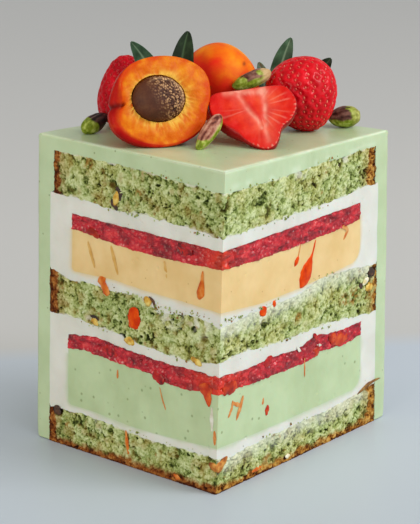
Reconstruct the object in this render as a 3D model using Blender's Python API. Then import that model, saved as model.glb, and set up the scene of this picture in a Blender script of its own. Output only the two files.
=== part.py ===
"""A quarter of a tall round layer cake, cut as a wedge, with fruit, nuts and leaves on top.

Metres, +Z up. The slice stands on its base at z = 0. The tip of the wedge points to -Y, the
round outer wall is at +Y, and the origin is on the base, half way between tip and wall.
Below, every size is in millimetres until a mesh is made.
"""

from math import cos, pi, radians, sin

import bmesh
import bpy
import numpy as np

MM = 0.001
GAP = 0.3                       # clear space between neighbouring pieces

# The whole cake: a round one, 200 mm across, cut a little off its centre.
CAKE_RADIUS = 100.0
CAKE_CENTRE = np.array([6.8, 1.3])      # from the tip of the wedge
WEDGE_HALF_ANGLE = radians(44)
TIP = np.array([0.0, -51.0])            # where the tip of the wedge stands, from the origin
COAT_SIDE = 7.0                         # thickness of the green coat at the outer wall
COAT_FOOT = 0.4                         # the coat ends this far above the table
COAT_ROUNDING = 1.8                     # rounding of the coat's top edge
CRUST_RADIUS_TOP = 91.0                 # the top sponge is a little smaller than the others
INSERT_RADIUS_UPPER = 81.0
INSERT_RADIUS_LOWER = 82.5
INSERT_CORNER = 6.0                     # rounding of the mousse discs' lower edge

# The slice has slumped a little: its foot stands to the left of its top.
LEAN = 4.5
LEAN_TOP = 125.8
LEAN_REACH = 73.4

# Height of each boundary between layers at the left corner, the tip and the right corner.
HEIGHTS = {
    "table": (0.0, 0.0, 0.0),
    "sponge_bottom_top": (15.4, 14.0, 15.5),
    "green_mousse_foot": (18.2, 18.0, 17.8),
    "lower_berry_foot": (42.2, 39.4, 39.3),
    "lower_berry_top": (48.6, 46.8, 46.2),
    "sponge_middle_foot": (55.3, 51.4, 50.0),
    "sponge_middle_top": (72.5, 66.3, 69.3),
    "yellow_mousse_foot": (74.4, 71.6, 71.0),
    "upper_berry_foot": (90.4, 88.3, 88.5),
    "upper_berry_top": (97.4, 95.7, 96.1),
    "sponge_top_foot": (104.6, 100.6, 101.2),
    "sponge_top_top": (121.2, 117.6, 117.3),
    "coat_top": (126.8, 126.0, 122.2),
}
# Boundaries that touch sponge or berry wander by this much; the others are spread flat.
WANDER = {
    "sponge_bottom_top": 0.35,
    "lower_berry_foot": 0.55,
    "lower_berry_top": 0.40,
    "sponge_middle_foot": 0.55,
    "sponge_middle_top": 0.60,
    "upper_berry_foot": 0.45,
    "upper_berry_top": 0.25,
    "sponge_top_foot": 0.45,
    "sponge_top_top": 0.45,
}
CRUMB_RELIEF = 0.45             # how far the cut crumb of a sponge stands in or out
SEED = 7

# Grid of every layer: columns across the wedge, rows from the tip to the outer wall.
COLUMNS = 10
ROWS_INNER = 9
CORNER_ANGLES = (30, 60, 90)
ROWS_RING = 2


# ---------------------------------------------------------------- layers of the slice

def ray_directions():
    """Unit directions in plan from the tip, fanned from the left cut face to the right one."""
    angles = np.linspace(-WEDGE_HALF_ANGLE, WEDGE_HALF_ANGLE, COLUMNS + 1)
    return np.stack([np.sin(angles), np.cos(angles)], axis=1)


def ray_lengths(radius):
    """Distance along each ray from the tip to a circle of this radius about the cake's centre."""
    along = ray_directions() @ CAKE_CENTRE
    return along + np.sqrt(along ** 2 - CAKE_CENTRE @ CAKE_CENTRE + radius ** 2)


def corner_point(side, radius):
    """Plan position of a wedge corner: side -1 is the left cut face, +1 the right one."""
    column = 0 if side < 0 else -1
    return ray_directions()[column] * ray_lengths(radius)[column]


def height(name, x, y):
    """Height of a boundary: a plane through its three corner heights, plus its slow wander."""
    left, tip, right = HEIGHTS[name]
    x_left, y_left = corner_point(-1, CAKE_RADIUS)
    x_right, y_right = corner_point(1, CAKE_RADIUS)
    slope_x, slope_y = np.linalg.solve([[x_left, y_left], [x_right, y_right]],
                                       [left - tip, right - tip])
    phase = 1.7 * list(HEIGHTS).index(name)
    wave = np.sin(x / 6.1 + phase) * np.cos(y / 8.3 + 2.1 * phase)
    wave = wave + 0.6 * np.sin((x + y) / 11.7 + 0.5 * phase)
    return tip + slope_x * x + slope_y * y + WANDER.get(name, 0.0) * wave


def lean(points):
    """Shift points to the left, most at the foot and not at all on the right outer wall."""
    share = np.clip(1 - points[..., 0] / LEAN_REACH, 0, 1)
    rise = np.clip(1 - points[..., 2] / LEAN_TOP, 0, 1)
    points[..., 0] -= LEAN * share * rise
    return points


def plan_grid(inner_radius, outer_radius):
    """Rows of plan points from the tip to inner_radius and on to outer_radius, per column.

    The last inner rows stand close together, where a mousse disc has its rounded edge.
    """
    inner = ray_lengths(inner_radius)
    outer = ray_lengths(outer_radius)
    even = np.linspace(0, 1, ROWS_INNER + 1)
    rows = [(inner - INSERT_CORNER) * share for share in even]
    rows += [inner - INSERT_CORNER * (1 - sin(radians(angle))) for angle in CORNER_ANGLES]
    rows += [inner + (outer - inner) * step / ROWS_RING for step in range(1, ROWS_RING + 1)]
    distance = np.array(rows)
    return distance[:, :, None] * ray_directions()[None, :, :]


def level(name, inner_radius, outer_radius, offset=0.0, rounded=False):
    """One boundary as a grid of points, moved up by offset.

    A rounded level rises along a quarter circle in its last inner rows.
    """
    plan = plan_grid(inner_radius, outer_radius)
    x, y = plan[..., 0], plan[..., 1]
    z = height(name, x, y) + offset
    if rounded:
        for step, angle in enumerate(CORNER_ANGLES, start=ROWS_INNER + 1):
            z[step] += INSERT_CORNER * (1 - cos(radians(angle)))
        z[ROWS_INNER + len(CORNER_ANGLES) + 1:] += INSERT_CORNER
    return np.stack([x, y, z], axis=-1)


def add_mesh(name, points, faces, colour, roughness, centre=(0.0, 0.0, 0.0)):
    """Make one object from points in millimetres, placed by its centre, with its material."""
    centre = np.array(centre)
    mesh = bpy.data.meshes.new(name)
    mesh.from_pydata(((points - centre) * MM).tolist(), [], faces)
    obj = bpy.data.objects.new(name, mesh)
    obj.location = (centre + [TIP[0], TIP[1], 0.0]) * MM
    bpy.context.scene.collection.objects.link(obj)

    shape = bmesh.new()
    shape.from_mesh(mesh)
    bmesh.ops.remove_doubles(shape, verts=shape.verts, dist=1e-6)
    bmesh.ops.dissolve_degenerate(shape, edges=shape.edges, dist=1e-7)
    bmesh.ops.triangulate(shape, faces=shape.faces, quad_method="FIXED")
    bmesh.ops.recalc_face_normals(shape, faces=shape.faces)
    shape.to_mesh(mesh)
    shape.free()
    mesh.shade_smooth()
    mesh.set_sharp_from_angle(angle=radians(40))

    material = bpy.data.materials.new(name)
    material.use_nodes = True
    shader = material.node_tree.nodes["Principled BSDF"]
    shader.inputs["Base Color"].default_value = (*colour, 1.0)
    shader.inputs["Roughness"].default_value = roughness
    shader.inputs["Metallic"].default_value = 0.0
    mesh.materials.append(material)
    return obj


def layered_solid(name, levels, keep, colour, roughness):
    """Close the surface round the kept cells between levels.

    keep[k][i] says whether the solid fills the space between level k and k + 1 and between
    row i and i + 1, all the way from the left cut face to the right one.
    """
    points = lean(np.array(levels))
    count_k, count_i, count_j = points.shape[:3]
    index = np.arange(count_k * count_i * count_j).reshape(count_k, count_i, count_j)
    keep = np.pad(np.array(keep, dtype=bool), 1)
    faces = []

    def quad(a, b, c, d):
        faces.append([int(a), int(b), int(c), int(d)])

    for k in range(count_k - 1):
        for i in range(count_i - 1):
            if not keep[k + 1, i + 1]:
                continue
            for j in range(count_j - 1):
                if not keep[k, i + 1]:
                    quad(index[k, i, j], index[k, i, j + 1],
                         index[k, i + 1, j + 1], index[k, i + 1, j])
                if not keep[k + 2, i + 1]:
                    quad(index[k + 1, i, j], index[k + 1, i + 1, j],
                         index[k + 1, i + 1, j + 1], index[k + 1, i, j + 1])
                if i > 0 and not keep[k + 1, i]:
                    quad(index[k, i, j], index[k + 1, i, j],
                         index[k + 1, i, j + 1], index[k, i, j + 1])
                if not keep[k + 1, i + 2]:
                    quad(index[k, i + 1, j], index[k, i + 1, j + 1],
                         index[k + 1, i + 1, j + 1], index[k + 1, i + 1, j])
            for j in (0, count_j - 1):
                quad(index[k, i, j], index[k, i + 1, j],
                     index[k + 1, i + 1, j], index[k + 1, i, j])
    return add_mesh(name, points.reshape(-1, 3), faces, colour, roughness)


def between(foot, top, steps):
    """Levels evenly spaced from one grid to another."""
    return [foot + (top - foot) * step / steps for step in range(steps + 1)]


def roughen_cut_faces(levels, seed):
    """Move the cut crumb of a sponge in or out across its two cut faces, by seeded draws."""
    draw = np.random.default_rng(seed)
    directions = ray_directions()
    for column, turn in ((0, 1.0), (-1, -1.0)):
        outward = np.array([-directions[column][1], directions[column][0]]) * turn
        for grid in levels[1:-1]:
            push = draw.uniform(-CRUMB_RELIEF, CRUMB_RELIEF, len(grid) - 2)
            grid[1:-1, column, :2] += push[:, None] * outward
    return levels


ROW_INSERT = ROWS_INNER + len(CORNER_ANGLES)        # rows up to the edge of a mousse disc
ROW_COUNT = ROW_INSERT + ROWS_RING


def sponge(name, foot, top, insert_foot, insert_top, radius, seed):
    """A disc of green sponge: cut crumb on both faces, neighbours above and below it."""
    low = level(foot, insert_foot, radius - GAP / 2, 0.0 if foot == "table" else GAP / 2)
    high = level(top, insert_top, radius - GAP / 2, -GAP / 2)
    levels = roughen_cut_faces(between(low, high, 3), seed)
    return layered_solid(name, levels, [[True] * ROW_COUNT] * 3, (0.36, 0.42, 0.14), 0.95)


def disc(name, foot, top, insert, steps, colour, roughness, rounded=False):
    """A disc of berry jelly or mousse inside the cream."""
    low = level(foot, insert - GAP / 2, insert + COAT_SIDE, GAP / 2, rounded)
    high = level(top, insert - GAP / 2, insert + COAT_SIDE, -GAP / 2)
    fill = [True] * ROW_INSERT + [False] * ROWS_RING
    return layered_solid(name, between(low, high, steps), [fill] * steps, colour, roughness)


def cream(name, foot, disc_foot, disc_top, top, insert):
    """White cream under, round and over a pair of discs: a wedge with a pocket in it."""
    inner = insert + GAP / 2
    outer = CAKE_RADIUS - COAT_SIDE - GAP / 2
    levels = [
        level(foot, inner, outer, GAP / 2),
        level(disc_foot, inner, outer, -GAP / 2, rounded=True),
        level(disc_top, inner, outer, GAP / 2),
        level(top, inner, outer, -GAP / 2),
    ]
    ring = [False] * ROW_INSERT + [True] * ROWS_RING
    full = [True] * ROW_COUNT
    return layered_solid(name, levels, [full, ring, full], (0.78, 0.78, 0.72), 0.6)


def coat():
    """The green coat: a slab over the top sponge and a wall round the outside, in one piece."""
    wall = CAKE_RADIUS - COAT_SIDE + GAP / 2
    crust = CRUST_RADIUS_TOP + GAP / 2
    shoulder = "sponge_top_foot"
    levels = [
        level("table", wall, CAKE_RADIUS, COAT_FOOT),
        level(shoulder, wall, CAKE_RADIUS, 0.0),
        level(shoulder, crust, CAKE_RADIUS, 2.0),
        level("sponge_top_top", crust, CAKE_RADIUS, GAP / 2),
        level("coat_top", crust, CAKE_RADIUS, -COAT_ROUNDING),
        level("coat_top", crust, CAKE_RADIUS - 0.3 * COAT_ROUNDING, -0.3 * COAT_ROUNDING),
        level("coat_top", crust, CAKE_RADIUS - COAT_ROUNDING, 0.0),
    ]
    ring = [False] * ROW_INSERT + [True] * ROWS_RING
    full = [True] * ROW_COUNT
    keep = [ring, ring, ring, full, full, full]
    return layered_solid("coat", levels, keep, (0.52, 0.66, 0.38), 0.3)


def build_slice():
    """All ten layers, from the base up."""
    body = CAKE_RADIUS - COAT_SIDE
    berry = (0.60, 0.02, 0.03)
    sponge("sponge_bottom", "table", "sponge_bottom_top",
           INSERT_RADIUS_LOWER, INSERT_RADIUS_LOWER, body, SEED)
    cream("cream_lower", "sponge_bottom_top", "green_mousse_foot",
          "lower_berry_top", "sponge_middle_foot", INSERT_RADIUS_LOWER)
    disc("mousse_pistachio", "green_mousse_foot", "lower_berry_foot", INSERT_RADIUS_LOWER,
         2, (0.50, 0.64, 0.36), 0.5, rounded=True)
    disc("berry_lower", "lower_berry_foot", "lower_berry_top", INSERT_RADIUS_LOWER,
         1, berry, 0.3)
    sponge("sponge_middle", "sponge_middle_foot", "sponge_middle_top",
           INSERT_RADIUS_LOWER, INSERT_RADIUS_UPPER, body, SEED + 1)
    cream("cream_upper", "sponge_middle_top", "yellow_mousse_foot",
          "upper_berry_top", "sponge_top_foot", INSERT_RADIUS_UPPER)
    disc("mousse_apricot", "yellow_mousse_foot", "upper_berry_foot", INSERT_RADIUS_UPPER,
         2, (0.78, 0.55, 0.22), 0.5, rounded=True)
    disc("berry_upper", "upper_berry_foot", "upper_berry_top", INSERT_RADIUS_UPPER,
         1, berry, 0.3)
    sponge("sponge_top", "sponge_top_foot", "sponge_top_top",
           INSERT_RADIUS_UPPER, INSERT_RADIUS_UPPER, CRUST_RADIUS_TOP, SEED + 2)
    coat()


# ---------------------------------------------------------------- fruit, nuts and leaves

def turn(points, tilt, roll, yaw):
    """Rotate points about X, then Y, then Z, by angles in degrees."""
    a, b, c = radians(tilt), radians(roll), radians(yaw)
    about_x = np.array([[1, 0, 0], [0, cos(a), -sin(a)], [0, sin(a), cos(a)]])
    about_y = np.array([[cos(b), 0, sin(b)], [0, 1, 0], [-sin(b), 0, cos(b)]])
    about_z = np.array([[cos(c), -sin(c), 0], [sin(c), cos(c), 0], [0, 0, 1]])
    return points @ (about_z @ about_y @ about_x).T


def place(points, centre, angles):
    """Turn points, carry them to their centre and flatten them where they meet the coat."""
    points = turn(points, *angles) + centre
    floor = height("coat_top", points[..., 0], points[..., 1]) + GAP
    points[..., 2] = np.maximum(points[..., 2], floor)
    return points


def wrap(name, rings, first_pole, last_pole, centre, angles, colour, roughness):
    """A closed skin through a stack of rings, with one point at each end."""
    rings = np.array(rings)
    count, size = rings.shape[:2]
    points = np.concatenate([rings.reshape(-1, 3), [first_pole, last_pole]])
    points = place(points, np.array(centre), angles)
    start, end = count * size, count * size + 1
    faces = []
    for j in range(size):
        following = (j + 1) % size
        faces.append([start, following, j])
        faces.append([end, (count - 1) * size + j, (count - 1) * size + following])
        for i in range(count - 1):
            faces.append([i * size + j, i * size + following,
                          (i + 1) * size + following, (i + 1) * size + j])
    return add_mesh(name, points, faces, colour, roughness, centre)


def around(size):
    """Angles evenly round a ring."""
    return np.linspace(0, 2 * pi, size, endpoint=False)


def soft_outline(angles, sides, oval=None, sharpness=8):
    """Radius, at each angle, of a flat shape with soft corners.

    The shape lies inside each side, a straight line given by the way it faces in degrees and
    its distance from the middle. It also lies inside the oval, given by two half sizes and
    its turn in degrees. The reaches are joined as a sum of high powers, which rounds corners.
    """
    inverse = np.zeros(len(angles))
    for facing, distance in sides:
        reach = np.maximum(np.cos(angles - radians(facing)), 0) / distance
        inverse += reach ** sharpness
    if oval:
        half_width, half_height, turned = oval
        a = angles - radians(turned)
        inverse += np.hypot(np.cos(a) / half_width, np.sin(a) / half_height) ** sharpness
    return inverse ** (-1 / sharpness)


def ring_points(outline, angles, depth):
    """One ring in a plane: a radius at each angle, set at a depth."""
    return np.column_stack([outline * np.cos(angles), outline * np.sin(angles),
                            np.full(len(angles), depth)])


def round_back(outline, angles, depth, fullness):
    """Rings of the skin behind a cut face: a little wider than the face, then closing."""
    rings = []
    for degrees in (8, 22, 38, 54, 70, 82):
        share = fullness * cos(radians(degrees)) ** 0.8
        rings.append(ring_points(outline * share, angles, -depth * sin(radians(degrees))))
    return rings


APRICOT_CENTRE = (-19.5, 46.6, 142.7)
APRICOT_ANGLES = (67, -2, 17)           # its cut face looks at the viewer and a little up
APRICOT_DEPTH = 16.8
APRICOT_OVAL = (22.2, 16.7, 4)          # half sizes and turn of its cut face
APRICOT_SIDES = ((-15, 19.6), (158, 19.4))        # and where the face is cut shorter
STONE_SIZE = np.array([10.4, 8.7, 6.6])           # half sizes of the apricot stone
STONE_PLACE = np.array([-1.3, 0.9])               # its middle on the cut face
SOCKET_SLACK = 0.6                                # room in the socket, to the upper right


def apricot_half():
    """Half an apricot standing on its side: cut face with a socket, and a round back."""
    size = 24
    angles = around(size)
    flesh = soft_outline(angles, APRICOT_SIDES, APRICOT_OVAL)
    width, height_up, deep = STONE_SIZE + GAP + SOCKET_SLACK
    middle = np.array([*(STONE_PLACE + SOCKET_SLACK * np.array([0.6, 0.6])), 0.0])
    rings = []
    for degrees in (25, 50, 72, 90):
        share = sin(radians(degrees))
        ring = ring_points(np.full(size, share), angles, -deep * cos(radians(degrees)))
        rings.append(ring * [width, height_up, 1] + middle)
    face = ring_points(flesh * 0.985, angles, 0.0)
    rings.append(rings[-1] * 0.5 + face * 0.5 + [0, 0, 0.2])
    rings.append(face)
    rings += round_back(flesh, angles, APRICOT_DEPTH, 1.06)
    wrap("apricot_half", rings, middle - [0, 0, deep], (0, 0, -APRICOT_DEPTH),
         APRICOT_CENTRE, APRICOT_ANGLES, (0.90, 0.33, 0.03), 0.35)


def apricot_stone():
    """The stone in its socket: a flattened oval with a low keel round its rim."""
    size = 24
    angles = around(size)
    width, height_up, deep = STONE_SIZE
    rings = []
    for degrees in (20, 42, 64, 84, 96, 116, 138, 160):
        polar = radians(degrees)
        keel = 1 - 0.02 * (1 - sin(polar) ** 12)
        ring = ring_points(np.full(size, sin(polar) * keel), angles, -deep * cos(polar))
        rings.append(ring * [width, height_up, 1] + [*STONE_PLACE, 0])
    wrap("apricot_stone", rings, (*STONE_PLACE, -deep), (*STONE_PLACE, deep),
         APRICOT_CENTRE, APRICOT_ANGLES, (0.13, 0.06, 0.03), 0.7)


def apricot_whole():
    """A whole apricot behind: a ball a little taller than wide, leaning, with a seam."""
    size = 18
    angles = around(size)
    half_width, half_height = 14.8, 16.7
    seam_angle = radians(250)
    rings = []
    for degrees in (14, 30, 46, 62, 78, 94, 110, 126, 142, 158):
        polar = radians(degrees)
        away = np.abs((angles - seam_angle + pi) % (2 * pi) - pi)
        groove = 1 - 0.035 * np.exp(-(away / 0.25) ** 2)
        outline = half_width * sin(polar) ** 0.9 * groove
        rings.append(ring_points(outline, angles, half_height * cos(polar)))
    wrap("apricot_whole", rings, (0, 0, half_height - 0.7), (0, 0, -half_height),
         (6.9, 86.0, 140.6), (4, -25, 0), (0.88, 0.25, 0.02), 0.4)


def strawberry(name, length, half_width, narrowing, fullness, centre, angles):
    """A whole strawberry: broad shoulders at the top of its axis, narrowing to the tip.

    A fullness of 1 gives a round one, and less makes its shoulders squarer.
    """
    size = 16
    round_angles = around(size)
    lobes = 1 + 0.03 * np.cos(2 * round_angles + 0.6) + 0.02 * np.cos(3 * round_angles + 1.1)
    rings = []
    for degrees in (22, 40, 58, 76, 94, 112, 130, 148, 164):
        polar = radians(degrees)
        outline = half_width * sin(polar) ** fullness * (1 + narrowing * cos(polar)) * lobes
        rings.append(ring_points(outline, round_angles, 0.5 * length * cos(polar)))
    wrap(name, rings, (0, 0, 0.5 * length - 1.2), (0, 0, -0.5 * length),
         centre, angles, (0.72, 0.02, 0.02), 0.25)


# The cut face is a fan: its long top edge, two sides at the right, and two at the left.
FAN_SIDES = ((99, 11.4), (30, 17.1), (-28, 13.3), (-124, 12.4), (182, 16.4))


def strawberry_half():
    """Half a strawberry lying on its round side: a broad fan of a cut face, tip to the front."""
    size = 24
    angles = around(size)
    skin = soft_outline(angles, FAN_SIDES)
    depth = 10.0
    rings = [ring_points(skin * share, angles, sink)
             for share, sink in ((0.35, -0.3), (0.72, -0.1), (0.96, 0.0))]
    rings += round_back(skin, angles, depth, 1.02)
    wrap("strawberry_half", rings, (0, 0, -0.4), (0, 0, -depth),
         (16.7, 48.4, 136.8), (44, 0, -3), (0.80, 0.05, 0.03), 0.25)


def pistachio(name, length, half_width, centre, angles):
    """A peeled pistachio kernel: a long oval, blunt at one end, with its split as a crease."""
    size = 12
    round_angles = around(size)
    away = np.abs((round_angles - pi / 2 + pi) % (2 * pi) - pi)
    crease = 1 - 0.10 * np.exp(-(away / 0.35) ** 2)
    rings = []
    for degrees in (20, 42, 66, 90, 114, 138, 160):
        polar = radians(degrees)
        outline = half_width * sin(polar) * (1 + 0.12 * cos(polar)) * crease
        rings.append(np.column_stack([np.full(size, 0.5 * length * cos(polar)),
                                      outline * np.cos(round_angles),
                                      0.92 * outline * np.sin(round_angles)]))
    wrap(name, rings, (0.5 * length, 0, 0), (-0.5 * length, 0, 0),
         centre, angles, (0.22, 0.20, 0.07), 0.5)


LEAF_THICKNESS = 0.5


def leaf(name, foot, knee, tip, width, facing):
    """A slim pointed leaf: its midrib is a curve from the foot past the knee to the tip.

    Facing is the direction in plan that its upper face looks to, in degrees from +X. The leaf
    is folded a little along the midrib and waved, and its two faces are the same grid, set
    apart by its thickness.
    """
    foot, knee, tip = np.array(foot), np.array(knee), np.array(tip)
    s, t = np.meshgrid(np.linspace(0, 1, 10), np.linspace(-1, 1, 5), indexing="ij")
    s, t = s[..., None], t[..., None]
    midrib = foot * (1 - s) ** 2 + knee * 2 * s * (1 - s) + tip * s ** 2
    upper = np.array([cos(radians(facing)), sin(radians(facing)), 0.0])
    along = (knee - foot) * (1 - s) + (tip - knee) * s
    across = np.cross(along, upper)
    across = across / np.linalg.norm(across, axis=-1, keepdims=True)
    half = 0.3 + 0.5 * width * np.sin(pi * (0.05 + 0.95 * s) ** 1.4) ** 0.8
    middle = midrib + across * half * t
    middle = middle + upper * (0.14 * half * np.abs(t) + 0.3 * np.sin(6 * s + 1.5 * t))
    normal = np.cross(np.gradient(middle, axis=0), np.gradient(middle, axis=1))
    normal = normal / np.linalg.norm(normal, axis=-1, keepdims=True) * LEAF_THICKNESS / 2
    both = np.concatenate([(middle + normal).reshape(-1, 3), (middle - normal).reshape(-1, 3)])
    points = place(both - foot, foot, (0, 0, 0))

    rows, columns = middle.shape[:2]
    other = rows * columns
    faces = []
    for i in range(rows - 1):
        for j in range(columns - 1):
            a, b = i * columns + j, i * columns + j + 1
            c, d = a + columns, b + columns
            faces += [[a, b, d], [a, d, c]]
            faces += [[a + other, d + other, b + other], [a + other, c + other, d + other]]
    rim = list(range(columns))
    rim += [i * columns + columns - 1 for i in range(1, rows)]
    rim += [(rows - 1) * columns + j for j in range(columns - 2, -1, -1)]
    rim += [i * columns for i in range(rows - 2, 0, -1)]
    for a, b in zip(rim, rim[1:] + rim[:1]):
        faces += [[a, a + other, b + other], [a, b + other, b]]
    return add_mesh(name, points, faces, (0.02, 0.06, 0.03), 0.4, foot)


def build_toppings():
    """Everything on the coat, from left to right."""
    strawberry("strawberry_left", 27.8, 11.6, 0.33, 0.8, (-29.9, 84.5, 139.5), (180, -7, 0))
    apricot_half()
    apricot_stone()
    apricot_whole()
    strawberry_half()
    strawberry("strawberry_right", 29.8, 13.5, 0.16, 1.0, (38.5, 76.6, 137.3), (-24, -19, 0))

    pistachio("pistachio_left", 13.8, 3.7, (-44.4, 69.2, 129.9), (0, 17, 221))
    pistachio("pistachio_front", 17.0, 3.2, (-2.1, 41.1, 131.3), (20, -42, 40))
    pistachio("pistachio_middle", 16.8, 3.5, (17.6, 70.9, 145.2), (0, -17, 16))
    pistachio("pistachio_right", 13.2, 4.4, (56.0, 80.6, 127.0), (0, -3, 8))

    leaf("leaf_1", (-19.5, 73.0, 125.6), (-16.4, 75.0, 145.0), (-29.1, 76.0, 160.4), 5.8, 250)
    leaf("leaf_2", (-10.5, 68.5, 125.4), (-13.0, 68.5, 146.0), (-7.4, 69.0, 165.2), 9.4, 285)
    leaf("leaf_3", (30.5, 94.2, 123.2), (28.6, 94.2, 140.5), (36.2, 94.2, 157.0), 7.4, 262)
    leaf("leaf_4", (24.5, 92.0, 123.5), (26.8, 92.2, 137.0), (23.0, 93.2, 147.6), 4.4, 275)
    leaf("leaf_5", (41.5, 92.4, 122.9), (42.0, 92.6, 137.5), (51.4, 92.4, 147.5), 5.4, 262)


def main():
    for obj in list(bpy.data.objects):
        bpy.data.objects.remove(obj, do_unlink=True)
    build_slice()
    build_toppings()


main()
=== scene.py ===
# %% [markdown]
# # A slice of green layer cake
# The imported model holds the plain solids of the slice. Here each of them is shown by a finer
# surface: open crumb, soft cream, wet berry jelly, set mousse, satin icing, fruit and nuts.
# Every surface is a formula worked out with numpy, so it can be made finer or changed by one number.

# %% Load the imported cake
from math import cos, pi, radians, sin

import bpy
import numpy as np
from mathutils import Matrix


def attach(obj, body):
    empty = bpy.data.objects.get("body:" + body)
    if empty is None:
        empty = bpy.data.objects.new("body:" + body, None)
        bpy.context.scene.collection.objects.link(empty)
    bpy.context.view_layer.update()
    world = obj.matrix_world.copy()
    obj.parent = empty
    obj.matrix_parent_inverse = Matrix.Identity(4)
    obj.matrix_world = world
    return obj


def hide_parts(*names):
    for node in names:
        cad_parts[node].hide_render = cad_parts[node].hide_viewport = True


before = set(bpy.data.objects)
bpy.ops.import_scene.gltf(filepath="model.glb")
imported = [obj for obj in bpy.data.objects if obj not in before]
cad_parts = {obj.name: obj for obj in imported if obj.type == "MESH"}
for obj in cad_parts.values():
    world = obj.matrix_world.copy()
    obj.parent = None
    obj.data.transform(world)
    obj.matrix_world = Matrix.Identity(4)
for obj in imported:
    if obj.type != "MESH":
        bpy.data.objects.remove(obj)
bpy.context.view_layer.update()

# %% [markdown]
# ## Turning arrays into pieces
# Blender needs vertices and faces. One could add them one by one, but a cake's crumb needs tens of
# thousands, so whole arrays are handed over at once. Sizes are in millimetres from the tip of the
# wedge until the very end, because that is how a baker measures a cake.

# %% Arrays to pieces
MM = 0.001
TIP = np.array([0.0, -51.0, 0.0])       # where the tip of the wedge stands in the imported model


def make_piece(name, points, triangles, material, nodes=(), marks=None, sharp=60):
    """One object from points in millimetres; marks are numbers that its material reads.

    The faces are turned round if their volume, the sum of a . (b x c) / 6, is negative. Edges
    sharper than that many degrees stay hard.
    """
    corners = points[triangles]
    volume = np.einsum("ij,ij->", corners[:, 0], np.cross(corners[:, 1], corners[:, 2])) / 6
    if volume < 0:
        triangles = triangles[:, ::-1]
    mesh = bpy.data.meshes.new(name)
    mesh.vertices.add(len(points))
    mesh.vertices.foreach_set("co", ((points + TIP) * MM).astype(np.float32).ravel())
    mesh.loops.add(triangles.size)
    mesh.loops.foreach_set("vertex_index", triangles.astype(np.int32).ravel())
    mesh.polygons.add(len(triangles))
    mesh.polygons.foreach_set("loop_start", np.arange(0, triangles.size, 3, dtype=np.int32))
    mesh.update(calc_edges=True)
    mesh.shade_smooth()
    mesh.set_sharp_from_angle(angle=radians(sharp))
    for mark, values in (marks or {}).items():
        layer = mesh.attributes.new(mark, "FLOAT", "POINT")
        layer.data.foreach_set("value", np.asarray(values, np.float32).ravel())
    mesh.materials.append(material)
    piece = bpy.data.objects.new(name, mesh)
    bpy.context.scene.collection.objects.link(piece)
    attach(piece, "root")
    if nodes:
        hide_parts(*nodes)
    print(f"{name}: {len(triangles)} triangles, {abs(volume) / 1000:.3g} ml")


def xyz(x, y, z):
    """Points from their three coordinates, each an array or one number."""
    return np.stack(np.broadcast_arrays(x, y, z), axis=-1)


def unit(vectors, least=0.0):
    """Each vector divided by its own length, which is raised by a least one where it may be 0."""
    return vectors / (np.linalg.norm(vectors, axis=-1, keepdims=True) + least)


def as_triangles(quads):
    """Two triangles from each four corners; a triangle with a corner twice is dropped."""
    both = np.concatenate([quads[:, [0, 1, 2]], quads[:, [0, 2, 3]]])
    a, b, c = both.T
    return both[(a != b) & (b != c) & (a != c)]


def sheet(grid, turned=False):
    """Four corners of each cell of a grid of vertex numbers."""
    four = np.stack([grid[:-1, :-1], grid[1:, :-1], grid[1:, 1:], grid[:-1, 1:]], axis=-1)
    four = four.reshape(-1, 4)
    return four[:, ::-1] if turned else four


# %% [markdown]
# ## Repeatable roughness
# Crumb, fruit pulp and stone all look random, but the file has to give the same cake each time.
# So each small cube of space gets its own number from its place, and two recipes use it: soft
# noise, which blends the numbers of the eight nearest cubes, and cells, which measure how far it
# is to the nearest of one random point in each cube. Cells give crumbs, pores and drupelets.

# %% Noise
def scatter(cubes, seed):
    """A number from 0 to 1 for each cube: its three indices times big primes, mixed."""
    cubes = cubes.astype(np.int64)
    n = cubes[..., 0] * 73856093 ^ cubes[..., 1] * 19349663 ^ cubes[..., 2] * 83492791
    n = (n ^ (seed * 40503 + 977)) & 0xFFFFFFFF
    for _ in range(2):
        n = ((n ^ (n >> 15)) * 1274126177) & 0xFFFFFFFF
    return ((n ^ (n >> 16)) & 0xFFFFFF) / 0x1000000


def soft_noise(points, size, seed):
    """Smooth noise from -1 to 1: corner numbers weighted by how near each corner is."""
    p = points / size
    base = np.floor(p)
    f = p - base
    f = f * f * (3 - 2 * f)
    total = 0.0
    for corner in np.ndindex(2, 2, 2):
        weight = np.prod(np.where(np.array(corner) == 1, f, 1 - f), axis=-1)
        total = total + weight * scatter(base + corner, seed)
    return 2 * total - 1


def cells(points, size, seed):
    """Distance in millimetres to the nearest cell point, and that cell's own number."""
    p = points / size
    base = np.floor(p)
    nearest = np.full(p.shape[:-1], 9.0)
    own = np.zeros(p.shape[:-1])
    for step in np.ndindex(3, 3, 3):
        cell = base + step - 1
        middle = cell + np.stack([scatter(cell, seed + k) for k in range(3)], axis=-1)
        away = np.linalg.norm(p - middle, axis=-1)
        closer = away < nearest
        nearest = np.where(closer, away, nearest)
        own = np.where(closer, scatter(cell, seed + 3), own)
    return nearest * size, own


def smooth_step(x):
    """0 below 0, 1 above 1, and an S-curve between."""
    x = np.clip(x, 0, 1)
    return x * x * (3 - 2 * x)


def bell(x, width):
    """1 at 0 and falling off on both sides: e to the power of minus the square of x over width."""
    return np.exp(-(x / width) ** 2)


print("soft noise at three places:", soft_noise(np.eye(3) * [1, 2, 3], 2.0, 5).round(2))

# %% [markdown]
# ## Materials from the real stuff
# Each finish below is named for what it is. Its colours are sRGB hex values, turned to linear
# light by one function, and its pattern sizes are real millimetres. A material reads Object
# coordinates, which are metres here, or the marks that the shape functions leave on the mesh.
# Most finishes are made in the same three steps, so one function takes them: noise spreads a few
# colours, marks lay others over them, and a finer noise roughens the surface.

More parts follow.
